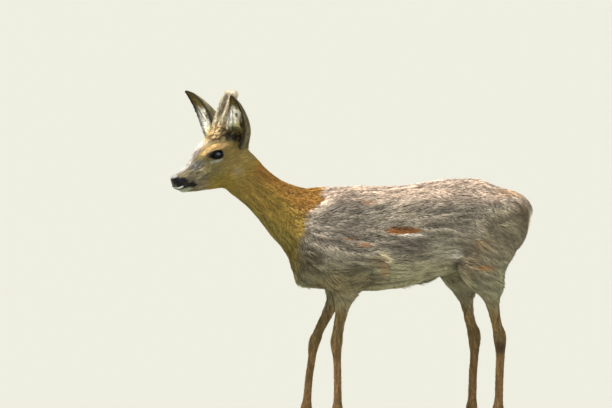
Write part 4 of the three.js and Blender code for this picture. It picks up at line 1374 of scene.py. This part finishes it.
def antler_points(side, height, turn):
    base, tip = np.array(ANTLER_ROOT) * (1, side, 1), np.array(ANTLER_TIP) * (1, side, 1)
    along = unit(tip - base)
    across = np.array([0.0, 1.0, 0.0])
    front = unit(np.cross(across, along))
    eased = 1 - (1 - height) ** 1.4
    radius = antler_radius_at(eased)[1] - PILE_DEPTH
    radius = radius * (1 + 0.07 * np.sin(5 * turn + 7 * eased) + 0.06 * np.sin(23 * eased))
    centre = base + np.outer(eased * ANTLER_LENGTH - ANTLER_FOOT * (1 - height) ** 6, along)
    centre = centre - np.outer(3 * np.sin(np.pi * eased), front)
    around = np.outer(np.cos(turn), across) - np.outer(np.sin(turn), front)
    place = centre + around * radius[:, None]
    radius = radius + 1.0 * cloud(place, 13.0, 11 + side) + 0.7 * cloud(place, 6.0, 14 + side)
    return from_head(centre + around * radius[:, None])


def loft(name, rings, around, place):
    heights = np.repeat(np.linspace(0, 1, rings), around)
    turns = np.tile(np.linspace(0, 2 * np.pi, around, endpoint=False), rings)
    made = to_object(name, place(heights, turns), tube_faces(rings, around))
    return facing_out(made)


antlers = {
    word: loft("antler_beam_" + word, 70, 44, lambda h, t, s=side: antler_points(s, h, t))
    for side, word in BOTH_SIDES
}
print("two antler beams")

# %% [markdown]
# ## Hooves and dewclaws
# Each foot stands on two pointed claws of black horn, flat underneath, with two small dewclaws
# behind. They are ring lofts too, with the fine ridges of growing horn, and the edge of the
# sole is rounded over the last millimetre.

# %% Claws
HOOF = {"length": 46, "width": 14.6, "heel": 17, "front": 31, "spread": 8.1, "splay": 0.04,
        "reach": 0.3, "back": 9}
DEWCLAW = {"length": 15, "width": 10.5, "out": 8, "height": 66, "back": 10.5, "tip": 2.7,
           "toe_out": 0.25}
SOLE_LEVEL, ANKLE_LEVEL = 24.0, 72.0


def hoof_points(height, turn, x, y, splay):
    rounded = 1 - 0.05 * (1 - rise(height, 0, 0.05)) - 0.04 * rise(height, 0.96, 1)
    ahead, across = -np.cos(turn) * rounded, np.sin(turn) * rounded
    point = np.where(ahead < 0, 1 - 0.42 * ahead ** 2, 1)
    ridges = 0.12 * np.sin(height * 60 + 0.4 * np.sin(3 * turn)) * rise(height, 0.06, 0.2)
    along = ahead * HOOF["length"] * (0.5 + (HOOF["reach"] - 0.5) * height)
    side = across * (point * HOOF["width"] * 0.5 * (1 - 0.16 * height) + ridges)
    level = HOOF["heel"] + (HOOF["front"] - HOOF["heel"]) * (1 - ahead) / 2
    along = along + HOOF["back"] * height
    cos, sin = math.cos(splay), math.sin(splay)
    turned_x, turned_y = along * cos - side * sin, along * sin + side * cos
    return np.stack([turned_x + x, turned_y + y, height * level], 1)


def dewclaw_points(height, turn, x, y, z, out):
    taper = (1 - 0.45 * height ** 2) * DEWCLAW["width"] * 0.5
    taper = taper * (1 - 0.45 * rise(height, 0.8, 1) ** 2) + 0.1 * np.sin(height * 40)
    local = np.stack([np.cos(turn) * taper, np.sin(turn) * taper * 0.8,
                      height * DEWCLAW["length"]], 1)
    down = Matrix.Rotation(DEWCLAW["tip"], 3, "Y")
    outwards = Matrix.Rotation(-out * DEWCLAW["toe_out"], 3, "Z")
    return local @ np.array(outwards @ down).T + (x, y, z)


claws = {}
for leg, (side, _, joint_at) in LEGS.items():
    _, foot_x, foot_out = (column[0] for column in joint_at(np.array([SOLE_LEVEL])))
    _, ankle_x, ankle_out = (column[0] for column in joint_at(np.array([ANKLE_LEVEL])))
    for word, out in (("inner", -1), ("outer", 1)):
        y = side * (foot_out + out * HOOF["spread"])
        splay = -side * out * HOOF["splay"]
        spot = (foot_x - HOOF["back"], y, splay)
        claws[f"hoof_{leg}_{word}"] = loft(
            f"claw_{leg}_{word}", 24, 44, lambda h, t, s=spot: hoof_points(h, t, *s))
        claw_y = side * (ankle_out + out * DEWCLAW["out"])
        spot = (ankle_x + DEWCLAW["back"], claw_y, DEWCLAW["height"], side * out)
        claws[f"dewclaw_{leg}_{word}"] = loft(
            f"spur_{leg}_{word}", 12, 24, lambda h, t, s=spot: dewclaw_points(h, t, *s))
for node, claw in claws.items():
    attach(claw, "root")
    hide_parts(node)
print(len(claws), "claws; lowest point", round(min(
    v.co.z for claw in claws.values() for v in claw.data.vertices), 5), "m")

# %% [markdown]
# ## The coat
# Roe hair is coarse and lies close, in loose strands that part in thin dark gaps. Each strand here
# is a closed blade of ten triangles: a flat triangular root, a middle and a tip. It starts under
# the skin, and its middle and tip are drawn to set levels of the field, so the coat fills the
# room up to the solids' outline and bends with the body. Particle hair would look alike but is
# lost when the model leaves Blender, so the blades are one plain mesh for each part of the coat.

# %% The lie of the hair
def drop_at(x):
    """How steeply the hair on the side runs down towards the tail."""
    return 0.1 + 0.42 * fade(x + 70, 75) + 0.55 * rise(x, 235, 360) + 1.2 * rise(x, 375, 460)


def fan_at(x, z):
    """How far the hair just behind the neck turns upwards instead."""
    return 1.2 * fade(x + 85, 45) * rise(z, 535, 590)


def lie_of_hair(points):
    x, y, z = points.T
    along = to_neck(points)[:, 0]
    head = rise(along, 196, 244)[:, None]
    neck = rise(along, 5, 70)[:, None]
    leg = (1 - rise(z, 300, 410))[:, None]
    drop = drop_at(x) * (1 - 0.8 * rise(z, 585, 632) * (1 - rise(x, 380, 430)))
    drop -= fan_at(x, z)
    trunk = np.stack([np.ones_like(x), 0.1 * np.sign(y) * (z > 600), -drop], 1)
    breast = fade(x + 130, 40)[:, None] * (1 - rise(z, 470, 560))[:, None]
    trunk += breast * np.array([0.0, 0.0, -1.3])
    throat = (1 - rise(to_neck(points)[:, 2], -40, 20))[:, None]
    on_neck = -neck_along + throat * np.array([0.15, 0.0, -0.5])
    local = to_head(points)
    cheek = rise(np.abs(local[:, 1]), 10, 34)[:, None] * rise(local[:, 0], 60, 150)[:, None]
    on_head = -head_forward - 0.35 * cheek * head_up
    way = unit(trunk) * (1 - neck) + unit(on_neck) * neck
    way = unit(way) * (1 - head) + unit(on_head) * head
    down = np.array([0.16, 0.0, -1.0])
    return unit(unit(way) * (1 - leg) + down * leg)


grid_x = np.linspace(-500, 500, 400)
grid_fall = np.cumsum(drop_at(grid_x)) * (grid_x[1] - grid_x[0])
grid_fan = np.cumsum(fan_at(grid_x, 600.0)) * (grid_x[1] - grid_x[0])


def strand_noise(points, size, seed):
    """Noise drawn out along the lie of the hair, so that its patches are strands."""
    x, y, z = points.T
    local_neck = to_neck(points)
    on_neck = rise(local_neck[:, 0], 10, 60)
    level = z + np.interp(x, grid_x, grid_fall) * 0.8
    level -= np.interp(x, grid_x, grid_fan) * rise(z, 535, 590)
    level += 5 * cloud(points, 45.0, 3)
    trunk = cloud(np.stack([x * 0.15, y, level], 1), size, seed)
    neck = cloud(local_neck * (0.2, 1, 1), size * 0.7, seed)
    on_head = rise(local_neck[:, 0], 190, 235)
    head = cloud(to_head(points) * (0.24, 1, 1), size * 0.42, seed)
    on_leg = 1 - rise(z, 300, 400)
    leg = cloud(points * (1, 1, 0.25), size * 0.6, seed)
    mixed = trunk * (1 - on_neck) + neck * on_neck
    mixed = mixed * (1 - on_head) + head * on_head
    return mixed * (1 - on_leg) + leg * on_leg


# %% Sizes of the hair
def hair_sizes(points):
    """Length, width and strands per square centimetre at each place on the skin."""
    local = to_head(points)
    along = to_neck(points)[:, 0]
    neck, head = rise(along, 10, 80), rise(along, 190, 240)
    leg = 1 - rise(points[:, 2], 230, 400)
    face = head * (1 - rise(local[:, 0], 150, 215))
    muzzle = head * (1 - rise(local[:, 0], 40, 95))
    sizes = np.stack([33 - 10 * neck, 2.9 - 0.7 * neck, 12.5 + 5 * neck])
    for share, there in (
        (head, (13.5, 1.9, 26)), (face, (5.8, 1.15, 40)), (muzzle, (3.4, 0.8, 50)),
        (leg, (8.5, 1.5, 16)),
    ):
        sizes += (np.array(there)[:, None] - sizes) * share
    return sizes


def bare(points):
    """Where no hair grows: nose pad, lids' rims, nostrils, mouth and the soles."""
    local = to_half_head(points)
    eye = to_eye(local)
    inside = np.hypot((eye[:, 0] - 0.2) / 18.6, (eye[:, 1] - 0.8) / 11.0) < 1
    lids = inside & (np.linalg.norm(eye, axis=1) < EYEBALL + 5)
    in_socket = np.linalg.norm(eye, axis=1) < EYEBALL + 0.7
    pad = (local[:, 0] < 13.5 - 0.25 * np.maximum(local[:, 1] - 8, 0)) & (local[:, 2] > -21)
    pad &= local[:, 0] < 20
    deep = (folds(points) > 2.2) & (local[:, 0] < 70)
    sole = points[:, 2] < 19
    return lids | in_socket | pad | deep | sole


# %% Roots
COAT_SEED = 20
SHARE_LAID = 1.0
rng = np.random.default_rng(COAT_SEED)


def surface_points(mesh, many_at):
    """Roots spread over a mesh, as many to each face as its area and place ask for."""
    places = to_body(mesh_points(mesh))
    corners = np.empty(len(mesh.loop_triangles) * 3, np.int32)
    mesh.loop_triangles.foreach_get("vertices", corners)
    a, b, c = (places[corners.reshape(-1, 3)[:, i]] for i in range(3))
    across = np.cross(b - a, c - a)
    area = np.linalg.norm(across, axis=1) / 200
    share = np.cumsum(area * many_at((a + b + c) / 3))
    total = int(share[-1])
    spots = (np.arange(total) + rng.random(total)) * share[-1] / total
    face = np.clip(np.searchsorted(share, spots), 0, len(area) - 1)
    u, v = rng.random((2, total))
    over = u + v > 1
    u, v = np.where(over, 1 - u, u), np.where(over, 1 - v, v)
    roots = a[face] + (b - a)[face] * u[:, None] + (c - a)[face] * v[:, None]
    return roots, unit(across[face])


def density(centres):
    on_skin = np.abs(skin_form(centres)) < 2.5
    return hair_sizes(centres)[2] * on_skin * ~bare(centres) * SHARE_LAID


skin.data.calc_loop_triangles()
roots, normals = surface_points(skin.data, density)
upright = unit(slope_of(coat_form, roots))
close_to_eye = np.linalg.norm(np.abs(to_head(roots)) - eye_centre(1), axis=1) < 24
normals = np.where(close_to_eye[:, None], normals, unit(upright * 0.7 + normals * 0.3))
print(len(roots), "roots on the skin")


# %% Strands as blades
def laid_on(normals, ways):
    """Ways turned so that they lie flat on the skin."""
    return unit(ways - normals * (ways * normals).sum(1)[:, None])


def blades(roots, normals, ways, length, levels, swing):
    """Middle and tip of each strand, from its root. Levels hold how high the middle and tip stand.
    """
    base = coat_form(roots)
    side = np.cross(normals, ways)
    middle = roots + ways * (length * 0.5)[:, None] + side * (swing * 0.4)[:, None]
    middle = pulled_to(coat_form, middle, base + levels[0], 1, 6.0)
    onward = unit(middle - roots)
    tip = middle + onward * (length * 0.5)[:, None] + side * (swing * 0.6)[:, None]
    tip = pulled_to(coat_form, tip, base + levels[1], 1, 8.0)
    return middle, tip


HAIR_WORDS = ("roots", "normals", "middle", "tip", "width", "lot", "clump")
BLADE_FACES = np.array([
    [0, 2, 1], [0, 1, 4], [0, 4, 3], [1, 2, 5], [1, 5, 4], [2, 0, 3], [2, 3, 5],
    [3, 4, 6], [4, 5, 6], [5, 3, 6],
])
BLADE_POINTS = 7
BLADE_SPREAD, BLADE_THICKNESS, BLADE_SWELL = 0.36, 0.28, 1.15
# A strand has ten triangles, and a piece stays under 200,000.
MOST_STRANDS = 19900
# One strand's patch on the map of the coat, and where its seven points lie on it.
PATCH = 0.003
PATCH_SEAT = np.array([[0, 0], [0.5, 0], [1, 0], [0, 0.5], [0.5, 0.5], [1, 0.5], [0.5, 1]])


def coat_piece(name, hair, seat):
    """One closed mesh of blades, with the attributes and the map that its finish reads."""
    roots, out, middle, tip, width, lot, clump = (hair[word] for word in HAIR_WORDS)
    count = len(roots)
    way = unit(middle - roots)
    side = unit(np.cross(out, way))
    wide = side * (width * BLADE_SPREAD)[:, None]
    thick = out * (width * BLADE_THICKNESS)[:, None]
    ring = [wide, thick, -wide]
    start = roots - out * 0.5
    rings = [start + part for part in ring]
    rings += [middle + part * BLADE_SWELL for part in ring]
    rings += [tip]
    points = np.stack(rings, 1).reshape(-1, 3)
    faces = BLADE_FACES[None] + np.arange(count)[:, None, None] * BLADE_POINTS
    faces = faces.reshape(-1, 3)
    mesh = bpy.data.meshes.new(name)
    mesh.vertices.add(len(points))
    mesh.vertices.foreach_set("co", to_frame(points).astype(np.float32).ravel())
    mesh.loops.add(faces.size)
    mesh.loops.foreach_set("vertex_index", faces.astype(np.int32).ravel())
    mesh.polygons.add(len(faces))
    mesh.polygons.foreach_set("loop_start", np.arange(0, faces.size, 3, dtype=np.int32))
    mesh.polygons.foreach_set("use_smooth", np.ones(len(faces), bool))
    mesh.update(calc_edges=True)
    values = {
        "place": np.repeat(to_frame(roots * 0.3 + middle * 0.3 + tip * 0.4), BLADE_POINTS, 0),
        "ear": np.repeat(ear_marks(roots), BLADE_POINTS, 0),
        "along": np.tile([0.0, 0.0, 0.0, 0.5, 0.5, 0.5, 1.0], count),
        "lot": np.repeat(lot, BLADE_POINTS),
        "clump": np.repeat(clump, BLADE_POINTS),
    }
    for word, value in values.items():
        kind, key = ("FLOAT_VECTOR", "vector") if value.ndim == 2 else ("FLOAT", "value")
        layer = mesh.attributes.new(word, kind, "POINT")
        layer.data.foreach_set(key, value.astype(np.float32).ravel())
    patch = (seat[:, None] + PATCH * (PATCH_SEAT[None] - 0.5)).reshape(-1, 2)
    bake = mesh.uv_layers.new(name="OFBake")
    bake.data.foreach_set("uv", patch[faces.ravel()].astype(np.float32).ravel())
    mesh.materials.append(coat_finish)
    made = bpy.data.objects.new(name, mesh)
    scene.collection.objects.link(made)
    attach(made, "root")
    assert count < MOST_STRANDS, (name, count)
    print(name, count, "strands")


# %% Strands over the body
length, width, _ = hair_sizes(roots)
depth = coat_depth(roots)
ridge = strand_noise(roots, 8.0, 5) * 0.75 + strand_noise(roots, 20.0, 6) * 0.3
# The hair lies calmer on the neck, the back of the head and the lower haunch.
calm = rise(to_neck(roots)[:, 0], 20, 60) * rise(to_head(roots)[:, 0], 50, 130)
calm = np.maximum(calm, 0.8 * rise(roots[:, 0], 330, 400) * (1 - rise(roots[:, 2], 560, 600)))
ridge = ridge * (1 - 0.55 * calm)
fluff = 1 - rise(to_neck(roots)[:, 0], 150, 230)
fluff *= 0.35 + 0.65 * rise(roots[:, 2], 250, 400)
lot = rng.random(len(roots))
ways = laid_on(normals, lie_of_hair(roots))
side = np.cross(normals, ways)
turn = 0.2 * strand_noise(roots, 34.0, 7) + 0.1 * (rng.random(len(roots)) - 0.5) * 2
ways = unit(ways + side * (turn * (0.4 + 0.6 * fluff))[:, None])
side = np.cross(normals, ways)
reach = 4.0
gather = strand_noise(roots + side * reach, 9.0, 5) - strand_noise(roots - side * reach, 9.0, 5)
swing = gather * 5.0 * fluff
length = length * (0.8 + 0.4 * lot)
width = width * (0.75 + 0.5 * rng.random(len(roots)))
# The hair stands low in the gap that shows the rust, and high in the lock just below it.
slit = np.hypot((roots[:, 0] - 131) / 44, (roots[:, 2] - 524) / 11)
lip = np.hypot((roots[:, 0] - 150) / 40, (roots[:, 2] - 511) / 7)
lift = np.clip(0.62 + 0.3 * ridge + 0.25 * (rng.random(len(roots)) - 0.5), 0.15, 1.12)
lift += 0.4 * (1 - rise(lip, 0.5, 1.1)) - 0.7 * lift * (1 - rise(slit, 0.6, 1.1))
levels = (depth * lift * 0.8, depth * lift)
middle, tip = blades(roots, normals, ways, length, levels, swing)
print("strands laid; mean length", round(float(length.mean()), 1), "mm")


# %% [markdown]
# ## The map for the coat's colours
# Each strand also needs a place on a flat map of the skin, named OFBake. The body is unrolled
# part by part: the turn round the part's own middle line runs one way and the place along it runs
# the other, as a tailor would unroll a sleeve. Each strand is a small patch at its root's place.

# %% Unrolled places
def spread(values):
    low, high = values.min(), values.max()
    return 0.02 + 0.96 * (values - low) / max(high - low, 1e-6)


def unrolled(along, across, up):
    return np.stack([spread(along), spread(np.arctan2(across, up))], 1)


# Four legs side by side on the map, and a little room beside the last.
LEG_COLUMNS = 4.1


def unroll_part(part, points):
    if part == "head":
        local = to_head(points)
        return unrolled(local[:, 0], local[:, 1], local[:, 2] + 10)
    if part == "neck":
        local = to_neck(points)
        return unrolled(local[:, 0], local[:, 1], local[:, 2] + 2)
    if part == "legs":
        turn = np.zeros(len(points))
        column = np.zeros(len(points))
        nearest = np.full(len(points), 1e9)
        for number, (side, _, joint_at) in enumerate(LEGS.values()):
            _, x, out = joint_at(points[:, 2])
            dx, dy = points[:, 0] - x, points[:, 1] - side * out
            closer = np.hypot(dx, dy) < nearest
            nearest = np.where(closer, np.hypot(dx, dy), nearest)
            turn = np.where(closer, np.arctan2(dx, dy) / (2 * np.pi) + 0.5, turn)
            column = np.where(closer, number, column)
        across = 0.01 + (column + turn * 0.96) / LEG_COLUMNS
        return np.stack([across, spread(points[:, 2])], 1)
    return unrolled(points[:, 0], points[:, 1], points[:, 2] - 520)


# %% Parts of the coat
HEAD_FROM, NECK_FROM, LEGS_BELOW = 214, 38, 330
SHOULDER_TO, HAUNCH_FROM = 40, 250
along_neck = to_neck(roots)[:, 0]
is_head = along_neck > HEAD_FROM
is_leg = ~is_head & (roots[:, 2] < LEGS_BELOW)
is_neck = ~is_head & ~is_leg & (along_neck > NECK_FROM)
is_trunk = ~is_head & ~is_leg & ~is_neck
is_shoulder = is_trunk & (roots[:, 0] < SHOULDER_TO)
is_haunch = is_trunk & (roots[:, 0] >= HAUNCH_FROM)
is_side = is_trunk & ~is_shoulder & ~is_haunch
left = roots[:, 1] < 0
head_left = to_head(roots)[:, 1] < 0
PARTS = {
    "coat_face_left": ("head", is_head & head_left),
    "coat_face_right": ("head", is_head & ~head_left),
    "coat_neck": ("neck", is_neck),
    "coat_legs": ("legs", is_leg),
    "coat_shoulder": ("trunk", is_shoulder),
    "coat_side_left": ("trunk", is_side & left),
    "coat_side_right": ("trunk", is_side & ~left),
    "coat_haunch_left": ("trunk", is_haunch & left),
    "coat_haunch_right": ("trunk", is_haunch & ~left),
}
body_hair = dict(zip(HAIR_WORDS, (roots, normals, middle, tip, width, lot, ridge)))
for name, (part, chosen) in PARTS.items():
    hair = {word: values[chosen] for word, values in body_hair.items()}
    coat_piece(name, hair, unroll_part(part, hair["roots"]))


# %% [markdown]
# ## Hair on the ears
# The back of a roe's ear is short grey-brown fur, its rim is dark, and inside, long cream hairs
# stand up from the walls and close the lower half. Strands are seated by height and turn on the
# leaf itself, so that each one follows the leaf's own curve towards the tip.

# %% Ear strands
ear_hair = {word: [] for word in HAIR_WORDS}
ear_maps = []
# Side of the leaf, strands, their length and width: short fur behind, long hair inside.
EAR_COATS = ((1, 5200, 7.0, 1.3), (-1, 3600, 17.0, 1.5))
for number, ear in enumerate(EARS.values()):
    for layer, many, long_mm, wide_mm in EAR_COATS:
        count = int(many * SHARE_LAID)
        height = rng.random(count * 2)
        kept = rng.random(count * 2) < ear_half_at(height)[1] / 54
        height = height[kept][:count] * 0.98
        share = rng.random(len(height)) * 2 - 1
        inside = layer < 0
        long = long_mm * (0.75 + 0.5 * rng.random(len(height)))
        long *= (1 - 0.72 * rise(height, 0.25, 0.95)) if inside else (1 - 0.35 * height)
        long *= 1 - 0.45 * rise(np.abs(share), 0.75, 1.0)
        up = long / EAR_LENGTH
        towards = (0.12 * np.sign(share) * (1 - height) if inside else 0.05 * share)
        seats = [
            ear_points(ear, np.minimum(height + up * k, 1.0), share + towards * k, layer)
            for k in (0.0, 0.5, 1.0)
        ]
        beside = ear_points(ear, height, np.clip(share + 0.04, -1, 1.04), layer)
        above = ear_points(ear, height + 0.02, share, layer)
        normal = unit(np.cross(beside - seats[0], above - seats[0]))
        middle_of_ear = ear_points(ear, height, share * 0, 1)
        core = ear_points(ear, height, share * 0 + 1, 1) * 0.5
        core = core + ear_points(ear, height, share * 0 - 1, 1) * 0.5
        centre = middle_of_ear * 0.45 + core * 0.55
        outwards = ((seats[0] - centre) * normal).sum(1) * layer
        normal = np.where((outwards < 0)[:, None], -normal, normal)
        stand = (1.6 + 3.4 * rng.random(len(height)) * (1 - height)) if inside else 1.0
        seats[1] = seats[1] + normal * np.multiply(stand, 0.8)[..., None]
        seats[2] = seats[2] + normal * np.multiply(stand, 1.2)[..., None]
        shown = skin_form(seats[0]) > (1.0 if inside else 0.4)
        wide = wide_mm * (0.7 + 0.6 * rng.random(len(height)))
        clump = cloud(np.stack([share * 10, height * 3, share * 0 + number], 1), 1.0, 31)
        columns = (seats[0], normal, seats[1], seats[2], wide, rng.random(len(height)), clump)
        for word, values in zip(HAIR_WORDS, columns):
            ear_hair[word].append(values[shown])
        turn = (share[shown] * 0.5 + 0.5) * 0.22 + 0.01
        ear_maps.append(np.stack([turn + 0.25 * (number * 2 + inside), height[shown] * 0.97], 1))
ear_hair = {word: np.concatenate(parts) for word, parts in ear_hair.items()}
coat_piece("coat_ears", ear_hair, np.concatenate(ear_maps) + 0.01)

# %% [markdown]
# ## Velvet, whiskers and lashes
# Velvet is skin with a dense pile of short hair, so Geometry Nodes scatter fine cones over each
# beam. Whiskers and lashes are single tapering hairs, so a second tree turns drawn lines into
# thin tubes. Both trees take their sizes as named inputs, the pile has a fixed seed too, and both
# end in Realize Instances and Set Material, so that what leaves Blender is plain mesh.

# %% Building a tree
class Growth:
    """A Geometry Nodes tree with named inputs, and one method that adds a node."""

    def __init__(self, name, inputs):
        self.tree = bpy.data.node_groups.new(name, "GeometryNodeTree")
        self.ids = {}
        sides = self.tree.interface
        sides.new_socket("Geometry", in_out="INPUT", socket_type="NodeSocketGeometry")
        for word, kind in inputs.items():
            socket = sides.new_socket(word, in_out="INPUT", socket_type="NodeSocket" + kind)
            self.ids[word] = socket.identifier
        sides.new_socket("Geometry", in_out="OUTPUT", socket_type="NodeSocketGeometry")
        self.start = self.tree.nodes.new("NodeGroupInput")
        self.end = self.tree.nodes.new("NodeGroupOutput")

    def given(self, word):
        return self.start.outputs[word]

    def node(self, kind, settings=None, sockets=None):
        made = self.tree.nodes.new(kind)
        for name, value in (settings or {}).items():
            setattr(made, name, value)
        for name, value in (sockets or {}).items():
            if isinstance(value, bpy.types.NodeSocket):
                self.tree.links.new(value, made.inputs[name])
            else:
                made.inputs[name].default_value = value
        return made

    def finish(self, geometry):
        real = self.node("GeometryNodeRealizeInstances", None, {0: geometry})
        coated = self.node("GeometryNodeSetMaterial", None, {
            "Geometry": real.outputs[0], "Material": self.given("Material")})
        self.tree.links.new(coated.outputs[0], self.end.inputs[0])

    def grow(self, made, **values):
        """Runs the tree on an object and leaves its plain result in the object's mesh."""
        step = made.modifiers.new("growth", "NODES")
        step.node_group = self.tree
        for word, value in values.items():
            step[self.ids[word.replace("_", " ")]] = value
        settled(made)


# %% Velvet pile
def velvet_material():
    f = Finish("velvet")
    point = f.place()
    broad = f.noise(point, 55, 2, 0.5)
    fine = f.noise(point, 420, 3, 0.6)
    knobs = f.noise(point, 150, 2, 0.5)
    back, side, up = head_place(f, point)
    inner = f.step(side, 15.5, 10.5) * f.step(up, 74, 92) * f.step(up, 126, 114)
    furred = f.step(up + (broad - 0.5) * 20, 75, 61)
    colour = f.mix(f.step(broad, 0.35, 0.62), paint("998766"), paint("eaddb8"))
    colour = layered(f, colour, [
        (f.step(fine, 0.48, 0.62) * 0.8, "f4ead2"),
        (f.step(fine, 0.5, 0.4) * 0.85, "4f412f"),
        (f.step(knobs, 0.47, 0.38) * 0.6, "65553d"),
        # Painted highlight: the tips are lighter, where the light falls from above.
        (f.step(up, 116, 128) * 0.35, "efe2d2"),  # lighter tips
        (inner * f.step(broad, 0.3, 0.5) * 0.75, "54483a"),  # shade between the beams
        (furred * 0.85, "c4a468"),  # the crown's own coat at their feet
    ])
    # The crown's folds at the antlers' feet, with painted shade and highlight.
    colour = crown_folds_painted_light(f, (back, side, up), furred, colour)
    f.set(Base_Color=colour, Roughness=0.85, Sheen_Weight=0.4, Sheen_Roughness=0.4,
          Normal=f.bump(fine, 0.0008, 0.8))
    return f.material


pile = Growth("velvet pile", {"Density": "Float", "Hair length": "Float",
                              "Hair radius": "Float", "Seed": "Int", "Material": "Material"})
spots = pile.node("GeometryNodeDistributePointsOnFaces", None, {
    "Mesh": pile.given("Geometry"), "Density": pile.given("Density"),
    "Seed": pile.given("Seed")})
lean = pile.node("FunctionNodeRandomValue", {"data_type": "FLOAT_VECTOR"}, {
    0: (-0.5, -0.5, -0.5), 1: (0.5, 0.5, 0.5), "Seed": pile.given("Seed")})
tall = pile.node("FunctionNodeRandomValue", {"data_type": "FLOAT"}, {
    2: 0.6, 3: 1.25, "Seed": pile.given("Seed")})
hair = pile.node("GeometryNodeMeshCone", None, {
    "Vertices": 4, "Side Segments": 1, "Fill Segments": 1, "Radius Top": 0.00006,
    "Radius Bottom": pile.given("Hair radius"), "Depth": pile.given("Hair length")})
tipped = pile.node("FunctionNodeRotateEuler", {"rotation_type": "EULER"}, {
    "Rotation": spots.outputs["Rotation"], "Rotate By": lean.outputs[0]})
hairs = pile.node("GeometryNodeInstanceOnPoints", None, {
    "Points": spots.outputs["Points"], "Instance": hair.outputs["Mesh"],
    "Rotation": tipped.outputs[0], "Scale": tall.outputs[1]})
both = pile.node("GeometryNodeJoinGeometry", None, {0: hairs.outputs[0]})
pile.tree.links.new(pile.given("Geometry"), both.inputs[0])
pile.finish(both.outputs[0])

velvet = velvet_material()
for number, (word, beam) in enumerate(antlers.items()):
    pile.grow(beam, Density=650000.0, Hair_length=0.0022, Hair_radius=0.00022,
              Seed=number + 3, Material=velvet)
    beam.data.polygons.foreach_set("use_smooth", [True] * len(beam.data.polygons))
    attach(beam, "root")
    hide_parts("antler_" + word)
    print("antler", word, len(beam.data.polygons), "faces")

# %% Fine hairs along drawn lines
thread = Growth("tapering hairs", {"Thickness": "Float", "Sides": "Int",
                                   "Material": "Material"})
drawn = thread.node("GeometryNodeMeshToCurve", None, {0: thread.given("Geometry")})
along_line = thread.node("GeometryNodeSplineParameter")
taper = thread.node("ShaderNodeMath", {"operation": "SUBTRACT"}, {
    0: 1.08, 1: along_line.outputs["Factor"]})
radius = thread.node("ShaderNodeMath", {"operation": "MULTIPLY"}, {
    0: taper.outputs[0], 1: thread.given("Thickness")})
circle = thread.node("GeometryNodeCurvePrimitiveCircle", None, {
    "Resolution": thread.given("Sides"), "Radius": 1.0})
tubes = thread.node("GeometryNodeCurveToMesh", None, {
    "Curve": drawn.outputs[0], "Profile Curve": circle.outputs[0],
    "Scale": radius.outputs[0], "Fill Caps": True})
thread.finish(tubes.outputs[0])

# %% Whiskers and lashes
WHISKERS, LASHES, ARC_POINTS = 26, 34, 6
LASH_SEAT = 0.6


def dark_hair_material():
    f = Finish("dark_hair")
    shade = f.noise(f.place(), 160, 1)
    f.set(Base_Color=f.mix(shade, paint("15110d"), paint("3a3026")), Roughness=0.5)
    return f.material


def arc(root, way, bend, length):
    shares = np.linspace(0, 1, ARC_POINTS)[:, None]
    return root + way * length * shares + bend * length * shares ** 2


lines = []
for side in (-1, 1):
    for i in range(WHISKERS):
        t = i / (WHISKERS - 1)
        back = 10 + 34 * ((i * 0.618) % 1)
        up = -8 - 14 * ((i * 0.382) % 1)
        seat = np.array([[back, side * 30.0, up]])
        root = pulled_to(skin_form, from_head(seat), -0.6, 6, 8.0)[0]
        out = unit(slope_of(skin_form, root[None]))[0]
        way = unit(out * 0.8 - head_forward * 0.35)
        lines.append(arc(root, way, np.array([0, 0, -0.25]), 14 + 12 * t))
    for i in range(LASHES):
        t = 0.06 + 0.40 * i / (LASHES - 1)
        (back,), (up,) = lid_line(np.array([t]))
        bulge = math.sqrt(max(EYEBALL ** 2 - back ** 2 * 0.8 - up ** 2, 9.0))
        root = from_eye(side, np.array([[back, up + LASH_SEAT, bulge + LASH_SEAT]]))[0]
        axes = eye_axes(side) @ HEAD_AXES
        way = unit(axes[2] * 0.9 + axes[1] * 0.15 + axes[0] * (back / 22.0))
        lines.append(arc(root, way, axes[1] * 0.35, 6.5 + 2.5 * math.sin(i * 2.4)))
wires = bpy.data.meshes.new("fine_hairs")
wires.from_pydata(
    [tuple(p) for p in to_frame(np.concatenate(lines))],
    [(k, k + 1) for k in range(len(lines) * ARC_POINTS) if (k + 1) % ARC_POINTS], [])
fine_hairs = bpy.data.objects.new("whiskers_and_lashes", wires)
scene.collection.objects.link(fine_hairs)
thread.grow(fine_hairs, Thickness=0.00017, Sides=5, Material=dark_hair_material())
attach(fine_hairs, "root")
print(len(lines), "whiskers and lashes")

# %% [markdown]
# ## Horn of the feet
# The claws are black horn with a soft shine, greyer and duller where the ground wears them near
# the sole, with faint streaks that run down the wall.

# %% Horn finish
def horn_material():
    f = Finish("claw_horn")
    x, y, z = f.axes(f.place())
    streaks = f.noise(f.joined(x, y, z * 0.12), 900, 3, 0.6)
    wear = f.step(z + streaks * 0.004, 0.009, 0.001)
    colour = f.mix(f.step(streaks, 0.35, 0.7), paint("15110e"), paint("342a21"))
    colour = f.mix(wear * 0.5, colour, paint("5a5147"))
    f.set(Base_Color=colour, Roughness=0.36 + 0.3 * wear + 0.15 * streaks,
          Normal=f.bump(streaks, 0.0003, 0.5))
    return f.material


horn = horn_material()
for claw in claws.values():
    claw.data.materials.append(horn)
print("horn on", len(claws), "claws")
